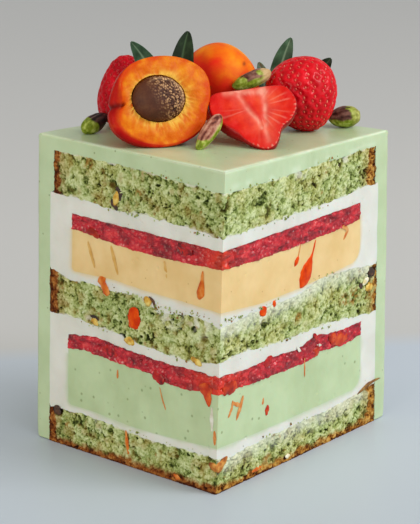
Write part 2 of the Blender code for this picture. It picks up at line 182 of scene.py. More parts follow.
# %% Material helpers
def linear(hex_colour):
    """sRGB hex to linear light: the power curve that screens use, undone."""
    s = np.array([int(hex_colour[i:i + 2], 16) for i in (1, 3, 5)]) / 255
    return (*np.where(s <= 0.04045, s / 12.92, ((s + 0.055) / 1.055) ** 2.4), 1.0)


def add(tree, kind, inputs=None, out=0, stops=(), **settings):
    """Add a node with its settings; inputs are values or other nodes' outputs. Returns an output."""
    made = tree.nodes.new("ShaderNode" + kind)
    for name, value in settings.items():
        setattr(made, name, value)
    for i, (position, colour) in enumerate(stops):
        ramp = made.color_ramp.elements
        element = ramp[0] if i == 0 else ramp.new(position)
        if i == 0:
            ramp.remove(ramp[-1])
        element.position = position
        element.color = linear(colour)
    for socket, value in (inputs or {}).items():
        if isinstance(value, bpy.types.NodeSocket):
            tree.links.new(value, made.inputs[socket])
        else:
            made.inputs[socket].default_value = value
    return made.outputs[out]


def start(name, **sockets):
    """A new material, its node tree and its shader, with constant values set on the sockets."""
    material = bpy.data.materials.new(name)
    material.use_nodes = True
    shader = material.node_tree.nodes["Principled BSDF"]
    for socket, value in sockets.items():
        shader.inputs[socket.replace("_", " ")].default_value = value
    return material, material.node_tree, shader


def per(millimetres):
    """Pattern scale whose one cell is that many millimetres on Object coordinates."""
    return 1000.0 / millimetres


def mottle(tree, stops, size, detail=3.0, rough=0.5, squeeze=1.0, shift=None):
    """Noise with cells of that size in mm, and the colours that the stops give it.

    It can be squeezed along Z, and a mark can shift it along the stops.
    """
    where = add(tree, "TexCoord", out="Object")
    if squeeze != 1.0:
        where = add(tree, "Mapping", {"Vector": where, "Scale": (1.0, 1.0, squeeze)})
    noise = add(tree, "TexNoise", {"Vector": where, "Scale": per(size), "Detail": detail,
                                   "Roughness": rough})
    level = noise
    if shift:
        mark = add(tree, "Attribute", out="Fac", attribute_name=shift)
        level = add(tree, "Math", {0: mark, 1: noise}, operation="ADD")
    return noise, add(tree, "ValToRGB", {"Fac": level}, stops=stops)


def lay(tree, colour, **layers):
    """Colours over a colour, each as strong as its mark says: hex, an output or mottling."""
    for mark, over in layers.items():
        share = add(tree, "Attribute", out="Fac", attribute_name=mark)
        if isinstance(over, str):
            over = linear(over)
        elif isinstance(over, tuple):
            over = mottle(tree, *over)[1]
        colour = add(tree, "MixRGB", {"Fac": share, "Color1": colour, "Color2": over})
    return colour


def cover(tree, shader, colour, height, strength, depth):
    """Link the colour to the shader, and bump of that strength and depth in mm."""
    bump = add(tree, "Bump", {"Height": height, "Strength": strength, "Distance": depth * MM},
               "Normal")
    tree.links.new(colour, shader.inputs["Base Color"])
    tree.links.new(bump, shader.inputs["Normal"])


def finish(name, stops, grain, layers=None, fine=None, bump=(0.3, 0.3), shift=None, **sockets):
    """A material of mottled colour with layers over it and bump.

    The grain is what mottle takes from the size on. The bump is a strength and a depth in mm,
    of a fine noise, which is a size in mm and a detail, or of the mottling itself.
    """
    material, tree, shader = start(name, **sockets)
    height, colour = mottle(tree, stops, *grain, shift=shift)
    colour = lay(tree, colour, **(layers or {}))
    if fine:
        size, detail = fine
        where = add(tree, "TexCoord", out="Object")
        height = add(tree, "TexNoise", {"Vector": where, "Scale": per(size), "Detail": detail})
    cover(tree, shader, colour, height, *bump)
    return material


print("mid grey, #808080, is", round(float(linear("#808080")[0]), 3), "in linear light")

# %% [markdown]
# ## The wedge
# The cake was round, 200 mm across, and the knife met a little off its middle. A place in the
# slice is a distance along a ray from the tip, the ray's angle and a height. The tall slice has
# slumped to the left at its foot, so everything is leaned by the same rule that the solids follow.

# %% The wedge's own measures
CAKE_RADIUS, CAKE_CENTRE = 100.0, np.array([6.8, 1.3])
HALF_ANGLE = radians(44)
BODY = CAKE_RADIUS - 7.0                 # the green coat is 7 mm thick at the outer wall
CRUST_TOP, DISC_UPPER, DISC_LOWER = 91.0, 81.0, 82.5
LEAN, LEAN_TOP, LEAN_REACH = 4.5, 125.8, 73.4
CUTS = ((0, -1), (-1, 1))                # first column of angles: left cut; last one: right cut


def fan(count):
    """Ray angles from the left cut to the right one, by a sine: closer together near the cuts."""
    return HALF_ANGLE * np.sin(np.linspace(-pi / 2, pi / 2, count))


def right_share(angles):
    """0 at the left cut, 1 at the right one, and an S-curve between."""
    return smooth_step(0.5 + 0.5 * angles / HALF_ANGLE)


def reach(radius, angles):
    """Distance along each ray from the tip to a circle about the cake's centre.

    It is how far along the ray the centre lies, plus the root of that square less the centre's
    square plus the radius's square.
    """
    along = np.sin(angles) * CAKE_CENTRE[0] + np.cos(angles) * CAKE_CENTRE[1]
    return along + np.sqrt(along ** 2 - CAKE_CENTRE @ CAKE_CENTRE + radius ** 2)


def in_slice(distance, angles, z):
    """Points from ray distances and heights.

    They lean to the left, most at the foot and not at all on the right outer wall.
    """
    x = distance * np.sin(angles)
    share = np.clip(1 - x / LEAN_REACH, 0, 1)
    rise = np.clip(1 - z / LEAN_TOP, 0, 1)
    return xyz(x - LEAN * share * rise, distance * np.cos(angles), z)


def off_cut(side):
    """Unit vector straight out of the left (-1) or right (1) cut face."""
    return xyz(side * cos(HALF_ANGLE), -sin(HALF_ANGLE), 0.0)


def coat_top(x, y):
    """Height of the icing's flat top, which falls a little to the right and back."""
    return 126.0 - 0.03189 * x - 0.0192 * y


print("the left and the right cut are", reach(CAKE_RADIUS, fan(2)).round(1), "mm long")

# %% [markdown]
# ## Where one layer ends and the next begins
# On a real cut the layers are not level: the knife drags them, cream fills hollows in the sponge,
# and berry jelly sinks into the mousse. Each boundary is a height at the tip and a few measured
# heights along the left and the right cut, smoothed, with a fine ripple on top. Two neighbours
# read the same boundary, so they meet without a gap. The number at the end is the ripple's size.

# %% Boundaries
EDGES = {
    "sponge_bottom_top": (14.4, ((17, 14.4), (37, 13.7), (50, 14.6), (69, 15.8), (81, 15.1)),
                          ((6, 12.8), (24, 13.9), (70, 14.2), (86, 15.2), (94, 16.5)), 0.8),
    "green_mousse_foot": (18.6, ((24, 17.4), (44, 16.8), (64, 18.2)),
                          ((24, 17.9), (46, 17.7), (80, 17.9)), 0.15),
    "lower_berry_foot": (39.8, ((9, 39.5), (18, 38.5), (28, 38.9), (34, 40.9), (51, 41.4),
                                (69, 42.7), (79, 41.9)),
                         ((9, 39.7), (38, 38.6), (53, 38.4), (61, 40.8), (77, 39), (86, 40.2)),
                         0.4),
    "lower_berry_top": (47.2, ((21, 46.9), (41, 47.3), (62, 49.5), (80, 47.3)),
                        ((16, 45.9), (35, 46.5), (45, 45.1), (58, 48.1), (68, 46.3), (85, 45.9)),
                        0.7),
    "sponge_middle_foot": (52.5, ((12, 50), (31, 50.9), (42, 51.6), (55, 53.5), (67, 54.3),
                                  (71, 55.3), (89, 54.9)),
                           ((15, 53.2), (30, 51.7), (53, 51), (68, 50.9), (93, 48.1)), 0.8),
    "sponge_middle_top": (66, ((12, 68.5), (31, 66.1), (41, 70.8), (55, 69.7), (65, 70.8),
                               (79, 70.2), (84, 71.8), (89, 73.4)),
                          ((16, 67.3), (47, 67.6), (61, 70.9), (80, 69.9), (98, 67.9)), 0.9),
    "yellow_mousse_foot": (72, ((19, 73), (38, 73.4), (55, 74.6), (70, 74.1)),
                           ((23, 70), (47, 70.1), (72, 71.4), (80, 72)), 0.12),
    "upper_berry_foot": (88.6, ((26, 88.1), (45, 88.3), (58, 89.4), (78, 91.4)),
                         ((23, 87.7), (46, 87.7), (71, 88.3), (86, 89.2)), 0.35),
    "upper_berry_top": (95.7, ((40, 96.4), (78, 97.2)), ((40, 95.8), (86, 96.1)), 0.35),
    "sponge_top_foot": (100.6, ((32, 102.8), (56, 102.5), (88, 104.4)),
                        ((38, 100.7), (63, 100.5), (88, 101.9)), 0.8),
    "sponge_top_top": (117.5, ((22, 118.6), (42, 120.1), (68, 120.8), (87, 121.1)),
                       ((6, 117.3), (23, 116.7), (70, 117.3), (92, 117.3)), 0.7),
}
SPREAD = (-2.0, -1.0, 0.0, 1.0, 2.0)     # mm; a measured profile is averaged over these shifts
TIP_FADE = 4.0                           # mm over which averaging is undone to keep the tip height


def edge(name, distance, angles):
    """Height of a boundary: left profile blended into the right one by angle, plus a ripple."""
    if name == "table":
        return 0.0 * distance
    tip, left, right, ripple = EDGES[name]
    profiles = []
    for measured in (left, right):
        t, z = np.array([(0, tip), *measured]).T
        soft = sum(np.interp(distance + shift, t, z) for shift in SPREAD) / len(SPREAD)
        first = sum(np.interp(shift, t, z) for shift in SPREAD) / len(SPREAD)
        profiles.append(soft + (tip - first) * np.exp(-distance / TIP_FADE))
    share = right_share(angles)
    # The length of its name gives each boundary a level of the noise to itself.
    plan = xyz(distance * np.sin(angles), distance * np.cos(angles), 7.0 * len(name))
    rough = 0.62 * soft_noise(plan, 3.1, 5) + 0.38 * soft_noise(plan, 1.2, 6)
    return profiles[0] * (1 - share) + profiles[1] * share + ripple * rough


print({name: tip for name, (tip, *_) in EDGES.items()}, "mm high at the tip; icing", coat_top(0, 0))

# %% [markdown]
# ## A layer is a bent slab
# Every layer is a block of grid points: across its thickness, along its length from the tip, and
# from the left cut to the right one. Only the outside of the block becomes faces. At the tip all
# rays meet, so there the grid closes to one vertical line. The two cut faces can then be pushed in
# and out along their own direction, which is what a serrated knife does to crumb.

# %% Slabs
FOOT_ROWS = 15                           # rows of points on the rounded foot of a mousse disc
TIP_SPAN = 2.5                           # mm from the tip where relief turns to the front


def slab(name, distance, z, angles, material, node, relief, closed_end=False, marks=None,
         sharp=60):
    """Points from distances and heights of shape (thickness, length, angle), and their skin.

    The relief gives how far each point of a cut face moves outwards; at the tip it moves
    straight to the front.
    """
    points = in_slice(distance, angles, z)
    for column, side in CUTS:
        face = points[:, :, column]
        share = np.clip(distance[:, :, column, None] / TIP_SPAN, 0, 1)
        way = unit(off_cut(side) * share + np.array([0.0, -1.0, 0.0]) * (1 - share))
        points[:, :, column] = face + way * relief(face, side)[..., None]
    number = np.arange(distance.size).reshape(distance.shape)
    number[:, 0] = number[:, 0, :1]
    if closed_end:
        number[:, -1] = number[:, -1, :1]
    skins = [sheet(number[0], True), sheet(number[-1]),
             sheet(number[:, :, 0], True), sheet(number[:, :, -1])]
    if not closed_end:
        skins.append(sheet(number[:, -1], True))
    used, triangles = np.unique(as_triangles(np.concatenate(skins)), return_inverse=True)
    marked = {key: value.reshape(-1)[used] for key, value in (marks(points) if marks else {}).items()}
    make_piece(name, points.reshape(-1, 3)[used], triangles.reshape(-1, 3), material, [node],
               marked, sharp)


def disc_corner(angles):
    """Radius of a mousse disc's round foot: 2 mm at the left cut, 6 mm at the right one."""
    return 2.0 + 4.0 * right_share(angles)


def disc_rows(radius, angles, step=0.42):
    """Distances from the tip to a disc's edge, closing up where its foot is rounded."""
    edge_at, corner = reach(radius, angles), disc_corner(angles)
    even = np.linspace(0, 1, int(80 / step))[:, None] * (edge_at - corner)
    turn = np.linspace(0, pi / 2, FOOT_ROWS + 1)[1:, None]
    return np.concatenate([even, edge_at - corner * (1 - np.sin(turn))])


def rounded_foot(name, distance, radius, angles):
    """A disc's foot: its boundary, rising by a quarter circle towards the disc's edge."""
    corner = disc_corner(angles)
    past = np.clip(distance - reach(radius, angles) + corner, 0, corner)
    rise = corner - np.sqrt(np.maximum(corner ** 2 - past ** 2, 0))
    return edge(name, distance, angles) + rise


print("a disc's foot has a radius of", disc_corner(fan(2)), "mm at the left and the right cut")

# %% [markdown]
# ## Green sponge
# Pistachio sponge is an open foam: round crumbs 1 to 2 mm across that stick together, with pores
# between them, and a brown crust where it touched the tin. Bump mapping alone would look printed
# on, so the crumbs are real relief. The material mixes its colours by marks on that relief: painted
# light on the high crumbs and painted shade in the pores, with brown, stained and creamy places on
# top.

# %% Sponge material
def sponge_material():
    """Dry green crumb: matt, painted light on the crumbs and painted shade in the pores."""
    material, tree, shader = start("sponge_crumb", Roughness=0.95, Specular_IOR_Level=0.15)
    where = add(tree, "TexCoord", out="Object")
    patches = add(tree, "TexNoise", {"Vector": where, "Scale": per(11), "Detail": 3.0})
    grain = add(tree, "TexNoise", {"Vector": where, "Scale": per(0.9), "Detail": 3.0,
                                   "Roughness": 0.7})
    # The height mark lays painted shade in the pores and painted light on the crumb tops.
    height = add(tree, "Attribute", out="Fac", attribute_name="height")
    grain_part = add(tree, "MapRange", {"Value": grain, "From Min": 0.3, "From Max": 0.7,
                                        "To Min": -0.16, "To Max": 0.16})
    level = add(tree, "Math", {0: height, 1: grain_part}, operation="ADD")
    baked = add(tree, "MixRGB", {"Fac": 0.5, "Color1": grain, "Color2": height})
    crumb_at, crust_at = (0.06, 0.30, 0.56, 0.90), (0.32, 0.50, 0.66, 0.82)
    fresh, older, brown, lit_side_crust = (
        add(tree, "ValToRGB", {"Fac": fac}, stops=tuple(zip(places, hexes)))
        for fac, places, hexes in (
            (level, crumb_at, ("#28320F", "#5A682E", "#96A45E", "#CBD49E")),
            (level, crumb_at, ("#1F1E0A", "#5E6028", "#9CA056", "#CED096")),
            (baked, crust_at, ("#2C0F04", "#6A3210", "#9C5E28", "#C0904E")),
            (baked, crust_at, ("#3E1C06", "#855018", "#BC8A3C", "#D8B66E"))))
    share = add(tree, "MapRange", {"Value": patches, "From Min": 0.42, "From Max": 0.62})
    colour = add(tree, "MixRGB", {"Fac": share, "Color1": fresh, "Color2": older})
    # The golden mark lays a lighter crust on the right cut, which faces the lamps: painted light.
    colour = lay(tree, colour, creamy="#E2E3D2", stain="#9A6E2E",
                 crust=lay(tree, brown, golden=lit_side_crust), burnt="#401607")
    cover(tree, shader, colour, grain, 0.6, 0.4)
    return material


SPONGE = sponge_material()
print(SPONGE.name, "mixes its colours with", len(SPONGE.node_tree.nodes), "nodes")

# %% [markdown]
# ## Crumb on the two cuts
# Low domes round cell points of two sizes make the crumbs, and round holes of many widths make the
# pores. A displacement texture would do the same, but only in a render: here the grid itself moves,
# so the crumb is also there in an exported model. A list holds the few stains, deep holes and dabs
# of cream that stand out most on this slice, each with its place on the cut.

# %% Sponge crumb
# Marks on the cut faces: which cut (-1 left, 1 right), distance from the tip, height, half size.
STAINS = ((-1, 68.8, 118.7, 3), (-1, 42.5, 111.1, 2), (1, 95.4, 55, 4), (-1, 19.6, 2.1, 2.6),
          (-1, 46.7, 12.4, 1.6), (-1, 46, 8.7, 1.8), (-1, 45.4, 3.5, 2.6), (1, 83, 57.8, 5),
          (-1, 79, 9, 1.9), (1, 30, 5, 3), (1, 63, 114, 1.9), (-1, 55, 105, 2.6),
          (-1, 62, 56.5, 2.8), (1, 77, 58, 3.4), (1, 47, 58, 3))
HOLES = ((-1, 84.2, 14.2, 2.6), (1, 95, 65, 2.4), (-1, 55.5, 112.5, 1.9), (-1, 13, 63, 1.5),
         (-1, 7.5, 60.5, 1.6), (1, 22, 110, 1.6), (-1, 70, 111.5, 1.4), (1, 26, 60.5, 1.6),
         (-1, 55, 12, 1.5), (1, 33, 8.5, 1.4))
DABS = ((-1, 25, 66.5, 6), (-1, 10, 66, 6), (1, 8, 66, 6.5), (1, 24, 66, 5), (1, 55, 69, 5),
        (-1, 69, 55.5, 4), (-1, 60, 14.5, 4), (1, 47, 118, 5), (1, 75, 118, 5))


def near_marks(points, side, marks):
    """How strongly each point is inside one of the listed spots of that cut face, 0 to 1."""
    total = np.zeros(points.shape[:-1])
    for mark_side, t, z, size in marks:
        if mark_side == side:
            spot = in_slice(t, side * HALF_ANGLE, z)
            away = np.linalg.norm((points - spot) * [1, 1, 1.1], axis=-1) / size
            total = np.maximum(total, 1 - smooth_step(away - 0.35))
    return total


def bent(points, size, amount, seed):
    """Points moved about by soft noise, so that round cells become irregular."""
    return points + amount * np.stack([soft_noise(points, size, seed + k) for k in range(3)], -1)


def crumb(points, side):
    """Low irregular domes of two sizes with open pores between them, in millimetres."""
    ragged = bent(points, 1.5, 0.7, 16)
    big, _ = cells(ragged, 2.8, 11)
    small, _ = cells(bent(points, 0.9, 0.3, 19), 1.0, 12)
    domes = 0.24 * (1 - (big / 1.45) ** 2) + 0.22 * (1 - (small / 0.57) ** 2)
    domes = np.clip(domes, -0.5, 0.5) + 0.26 * soft_noise(points, 4.0, 15)
    wide, wide_own = cells(ragged * [1, 1, 1.15], 3.2, 13)
    fine, fine_own = cells(ragged, 1.4, 14)
    open_here = 0.9 + 0.5 * soft_noise(points, 9.0, 17)
    width = (0.30 + 1.3 * np.maximum(wide_own - 0.3, 0)) * open_here
    pores = 1.5 * width * np.clip(1 - wide / width, 0, 1) ** 0.6
    width = (0.22 + 0.52 * fine_own) * open_here
    pores = pores + 1.25 * width * np.clip(1 - fine / width, 0, 1) ** 0.6
    return domes - pores - 1.5 * near_marks(points, side, HOLES)


print(len(STAINS), "stains,", len(HOLES), "deep holes and", len(DABS), "dabs of cream on the cuts")

# %% [markdown]
# ## Three sponges
# Each sponge browned at its outer edge, and the lowest one underneath too. Where sponge lies
# against cream it has soaked some up. The grid is fine on the two cuts, a point every 0.3 mm, and
# coarse between them, because only the cuts show. Marks tell the material where each thing is.

# %% Sponges
def sponge(name, foot, top, outer, node, burnt_foot=0.0, crust=(4.5, 6.6), pale_top=0.0):
    """A disc of sponge with open crumb on both cuts and a crust at its outer edge.

    The foot is browned up to one height in mm, the crust is so many mm thick at the left and
    at the right cut, and cream has soaked into the top edge of the right cut by a share of 0 to 1.
    """
    angles = fan(9)
    outer_reach = reach(outer, angles)
    rows = np.linspace(0, 1, 300)[:, None] * outer_reach
    low, high = edge(foot, rows, angles), edge(top, rows, angles)
    levels = np.linspace(0, 1, 60)[:, None, None]
    z = low + (high - low) * levels
    distance = np.broadcast_to(rows, z.shape)
    inside = np.clip(12 * np.minimum(levels, 1 - levels)[:, :, 0], 0, 1)

    def relief(face, side):
        return crumb(face, side) * (0.3 + 0.7 * inside)

    def marks(points):
        height = np.full(z.shape, 0.6)
        stain, creamy = np.zeros(z.shape), np.zeros(z.shape)
        from_edge = np.minimum(high - z, z - low if foot != "table" else 99.0)
        for column, side in CUTS:
            face = points[:, :, column]
            # This height mark paints shade into the pores and light onto the crumbs.
            height[:, :, column] = smooth_step((crumb(face, side) + 0.95) / 1.55)
            near, own = cells(face, 2.6, 31)
            fleck = 0.7 * (own > 0.965) * smooth_step(1.3 - near)
            mottled = smooth_step(0.6 + 1.1 * soft_noise(face, 1.3, 34))
            spots = 0.85 * near_marks(face, side, STAINS) * mottled
            toast = (0.35 if side < 0 else 0.15) * smooth_step(1.4 * soft_noise(face, 2.6, 36))
            stain[:, :, column] = np.maximum(np.maximum(spots, fleck), toast)
            wet = 0.5 + 0.5 * soft_noise(face, 2.1, 33)
            dab = near_marks(face, side, DABS) * smooth_step((wet - 0.42) / 0.2)
            smear = smooth_step((2.0 * wet - 0.55 - from_edge[:, :, column]) / 0.7)
            creamy[:, :, column] = 0.75 * np.maximum(dab, smear)
        ragged = 1.5 * soft_noise(points, 3.2, 21) + 0.9 * soft_noise(points, 1.1, 22)
        # The crust is painted lighter towards the lit right cut by the golden mark.
        to_right = right_share(angles)
        thick = crust[0] + (crust[1] - crust[0]) * to_right
        depth_in = (outer_reach - distance) + ragged
        brown = smooth_step((thick - depth_in) / 2.2)
        brown = np.maximum(brown, 0.3 * smooth_step((thick + 4.0 - depth_in) / 4.0))
        burnt = 0.7 * smooth_step((1.4 - depth_in) / 1.4)
        if burnt_foot:
            brown = np.maximum(brown, smooth_step((burnt_foot - (z + ragged * 0.8)) / 2.6))
            burnt = np.maximum(burnt, smooth_step((0.9 - z - 0.4 * ragged) / 0.9))
        soaked = pale_top * smooth_step((8.0 - (high - z) + ragged) / 8.0) * (angles > 0)
        creamy = np.maximum(creamy, soaked) * (1 - brown)
        return {"height": height, "stain": stain, "crust": brown, "burnt": burnt,
                "creamy": creamy, "golden": to_right + 0 * z}

    slab(name, distance, z, angles, SPONGE, node, relief, marks=marks, sharp=80)


sponge("sponge_bottom_crumb", "table", "sponge_bottom_top", BODY, "sponge_bottom", 4.2,
       pale_top=0.6)
sponge("sponge_middle_crumb", "sponge_middle_foot", "sponge_middle_top", BODY, "sponge_middle",
       crust=(6.6, 3.6), pale_top=0.65)
sponge("sponge_top_crumb", "sponge_top_foot", "sponge_top_top", CRUST_TOP, "sponge_top")

# %% [markdown]
# ## White cream
# Whipped cream cuts smooth, with soft drags from the knife and a pin-hole here and there. It wraps
# a mousse disc on three sides, so its slab is bent like a C: out under the disc, up its edge and
# back over it.

# %% Cream
def smooth_material(name, hex_dark, hex_light, speck, speck_hex, tint_hex=None, **sockets):
    """Set dairy: slow mottling between two colours, specks of that radius in mm, and a tint."""
    material, tree, shader = start(name, **sockets)
    _, colour = mottle(tree, ((0.35, hex_dark), (0.65, hex_light)), 14)
    where = add(tree, "TexCoord", out="Object")
    dots = add(tree, "TexVoronoi", {"Vector": where, "Scale": per(5)}, "Distance")
    dots = add(tree, "MapRange", {"Value": dots, "From Min": speck / 5, "From Max": speck / 9,
                                  "To Min": 0.0, "To Max": 0.7})
    colour = add(tree, "MixRGB", {"Fac": dots, "Color1": colour, "Color2": linear(speck_hex)})
    if tint_hex:
        colour = lay(tree, colour, tint=tint_hex)
    fine = add(tree, "TexNoise", {"Vector": where, "Scale": per(0.9), "Detail": 2.0})
    cover(tree, shader, colour, fine, 0.25, 0.2)
    return material


CREAM_LOWER, CREAM_UPPER = (
    smooth_material(name, "#D6D5CA", "#E0DFD6", 0.35, "#B3AC96", tint_hex,
                    Roughness=0.6, Subsurface_Weight=0.15, Subsurface_Scale=0.003)
    for name, tint_hex in (("cream_by_green", "#BCC9A4"), ("cream_by_yellow", "#E0C596")))


def drag(points, side):
    """Soft knife drags and rare pin-holes in cream or mousse, in millimetres."""
    across = points * [1, 1, 0.35]
    pin, own = cells(points, 6.5, 41)
    holes = 0.45 * (own > 0.6) * np.clip(1 - pin / 0.75, 0, 1)
    return 0.16 * soft_noise(across, 2.6, 42) + 0.10 * soft_noise(points, 9.0, 43) - holes


def cream(name, material, foot, disc_foot, disc_top, top, disc, node):
    """A C-shaped slab: inner path round the disc, outer path along sponge, coat and sponge."""
    angles = fan(12)
    disc_at, wall_at = reach(disc, angles), reach(BODY, angles)
    rows = disc_rows(disc, angles)
    up = np.linspace(0, 1, 30)[1:, None]
    back = np.linspace(1, 0, 190)[1:, None]

    def path(along, low, over, at):
        """Distances and heights out along the foot, up at one distance and back over the top."""
        high = edge(over, 0 * up + at, angles)
        return (np.concatenate([along, 0 * up + at, back * at]),
                np.concatenate([low, low[-1] + (high - low[-1]) * up,
                                edge(over, back * at, angles)]))

    in_r, in_z = path(rows, rounded_foot(disc_foot, rows, disc, angles), disc_top, disc_at)
    past = np.arange(len(rows)) - (len(rows) - FOOT_ROWS)
    out_rows = rows + (wall_at - rows) * np.clip(past / FOOT_ROWS, 0, 1)[:, None]
    out_r, out_z = path(out_rows, edge(foot, out_rows, angles), top, wall_at)
    w = np.array([0, 0.04, 0.09, 0.15, 0.22, 0.3, 0.42, 0.56, 0.7, 0.85, 1])[:, None, None]
    under = np.arange(in_r.shape[0])[:, None] < len(rows) + 20

    def marks(points):
        gap = np.hypot(out_r - in_r, out_z - in_z) * w
        smeared = 1.1 + 0.9 * soft_noise(points, 6.0, 44)
        return {"tint": 0.75 * bell(gap, smeared) * under}

    slab(name, in_r + (out_r - in_r) * w, in_z + (out_z - in_z) * w, angles, material,
         node, drag, closed_end=True, marks=marks)


cream("cream_lower_soft", CREAM_LOWER, "sponge_bottom_top", "green_mousse_foot",
      "lower_berry_top", "sponge_middle_foot", DISC_LOWER, "cream_lower")
cream("cream_upper_soft", CREAM_UPPER, "sponge_middle_top", "yellow_mousse_foot",
      "upper_berry_top", "sponge_top_foot", DISC_UPPER, "cream_upper")

# %% [markdown]
# ## Mousse
# Apricot and pistachio mousse are set with gelatine, so the cut is smooth and a little waxy, with
# tiny specks of fruit and nut. A disc is a slab with rounded lower edges, as it came out of its
# ring mould. Both use the recipe of the cream with other colours, because they cut the same way.

# %% Mousse
def mousse(name, foot, top, disc, slot, node, finish_name, *looks):
    """A disc with a rounded foot and a smooth cut."""
    angles = fan(12)
    rows = disc_rows(disc, angles)
    low, high = rounded_foot(foot, rows, disc, angles), edge(top, rows, angles)
    w = np.linspace(0, 1, 40)[:, None, None]
    material = smooth_material(finish_name, *looks, Roughness=0.55, Subsurface_Weight=0.12,
                               Subsurface_Scale=0.003)
    slab(name, rows + 0 * w, low + (high - low) * w, angles, material, node, drag)


mousse("mousse_pistachio_set", "green_mousse_foot", "lower_berry_foot", DISC_LOWER, "mousse_green",
       "mousse_pistachio", "pistachio_mousse", "#B2C496", "#BED0A4", 0.75, "#7E8F5C")
mousse("mousse_apricot_set", "yellow_mousse_foot", "upper_berry_foot", DISC_UPPER, "mousse_yellow",
       "mousse_apricot", "apricot_mousse", "#E0BC7C", "#EBCB90", 0.35, "#B98A48")

# %% [markdown]
# ## Berry jelly
# This is crushed fruit in jelly: pulp 1 to 2 mm across, wet and deep red, with pale specks that are
# painted highlights, and darker clots drawn out by the knife. It gets domes like the crumb, only
# lower and glossier. Near the tip the jelly is thin and runny, and a mark paints it brighter there,
# a painted glow for the light that comes through it.

# %% Berry jelly
# Crushed berries in jelly: wet, see-through red over darker pulp, which the knife drew out level.
# Its pale mark is painted highlights on the pulp, and its bright mark a painted glow near the tip.
BERRY = finish("berry_jelly",
               ((0.30, "#540410"), (0.42, "#A00C1E"), (0.55, "#C61A2A"), (0.70, "#E24A48")),
               (6, 5.0, 0.68, 1.9), {"bright": "#DC3004", "pale": "#EBA39C", "deep": "#42050C"},
               (0.7, 2.0), (0.5, 0.3), Roughness=0.26, Specular_IOR_Level=0.35, Coat_Weight=0.15,
               Coat_Roughness=0.12)


def pulp(points, side):
    """Low wet domes of crushed fruit, in millimetres."""
    near, _ = cells(bent(points, 2.0, 0.5, 56), 1.9, 51)
    fine, _ = cells(points, 0.95, 54)
    return (0.36 * (1 - (near / 1.05) ** 2) + 0.16 * (1 - (fine / 0.55) ** 2)
            + 0.35 * soft_noise(points * [1, 1, 1.6], 4.0, 52) + 0.15)


def berry(name, foot, top, disc, node, bright_reach):
    """A disc of berry jelly; near the tip, within that reach, it is runny, with a painted glow."""
    angles = fan(9)
    rows = disc_rows(disc, angles, 0.36)
    low, high = edge(foot, rows, angles), edge(top, rows, angles)
    w = np.linspace(0, 1, 26)[:, None, None]
    distance = rows + 0 * w

    def marks(points):
        near, own = cells(points, 1.7, 51)
        low_half = 0.35 + 0.65 * smooth_step((0.75 - w) / 0.4)
        # Pale specks, more in the lower part of the layer: painted highlights.
        pale = (own > 0.72) * smooth_step(1.15 - near / 0.62) * 0.85 * low_half
        ridge = smooth_step((w - 0.86) / 0.1) * smooth_step(soft_noise(points, 1.7, 55) * 3)
        drawn = points * [1, 1, 1.5] + points[..., 2:] * [0.7, 0, 0]
        clump = smooth_step((soft_noise(drawn, 5.0, 57) - 0.15) / 0.3)
        # Near the tip: a painted glow for light shining through the jelly.
        bright = bell(distance, bright_reach) * (0.75 + 0.4 * soft_noise(points, 3, 58))
        return {"pale": pale * (1 - clump), "deep": np.maximum(0.6 * ridge, 0.42 * clump),
                "bright": np.clip(bright, 0, 1)}

    slab(name, distance, low + (high - low) * w, angles, BERRY, node, pulp, marks=marks)


berry("berry_lower_wet", "lower_berry_foot", "lower_berry_top", DISC_LOWER, "berry_lower", 15)
berry("berry_upper_wet", "upper_berry_foot", "upper_berry_top", DISC_UPPER, "berry_upper", 9)

# %% [markdown]
# ## The green coat
# White chocolate icing, poured warm over the frozen cake: flat on top, rounded at the shoulder and
# even down the side, with a satin shine. The knife leaves a soft lip along each cut, and a painted
# highlight runs pale along the top edge of each cut, stronger on the right. It is one slab that
# runs from the tip over the top sponge, round the shoulder and down to the table.

# %% Coat
# Its tint colour lays a painted highlight along the top edges of the cuts and pale smears on the
# right cut.
ICING = smooth_material("satin_icing", "#B6C89C", "#C1D2A9", 0.5, "#76854F", "#E4EFD6",
                        Roughness=0.3, Coat_Weight=0.1, Coat_Roughness=0.2,
                        Subsurface_Weight=0.1, Subsurface_Scale=0.003)


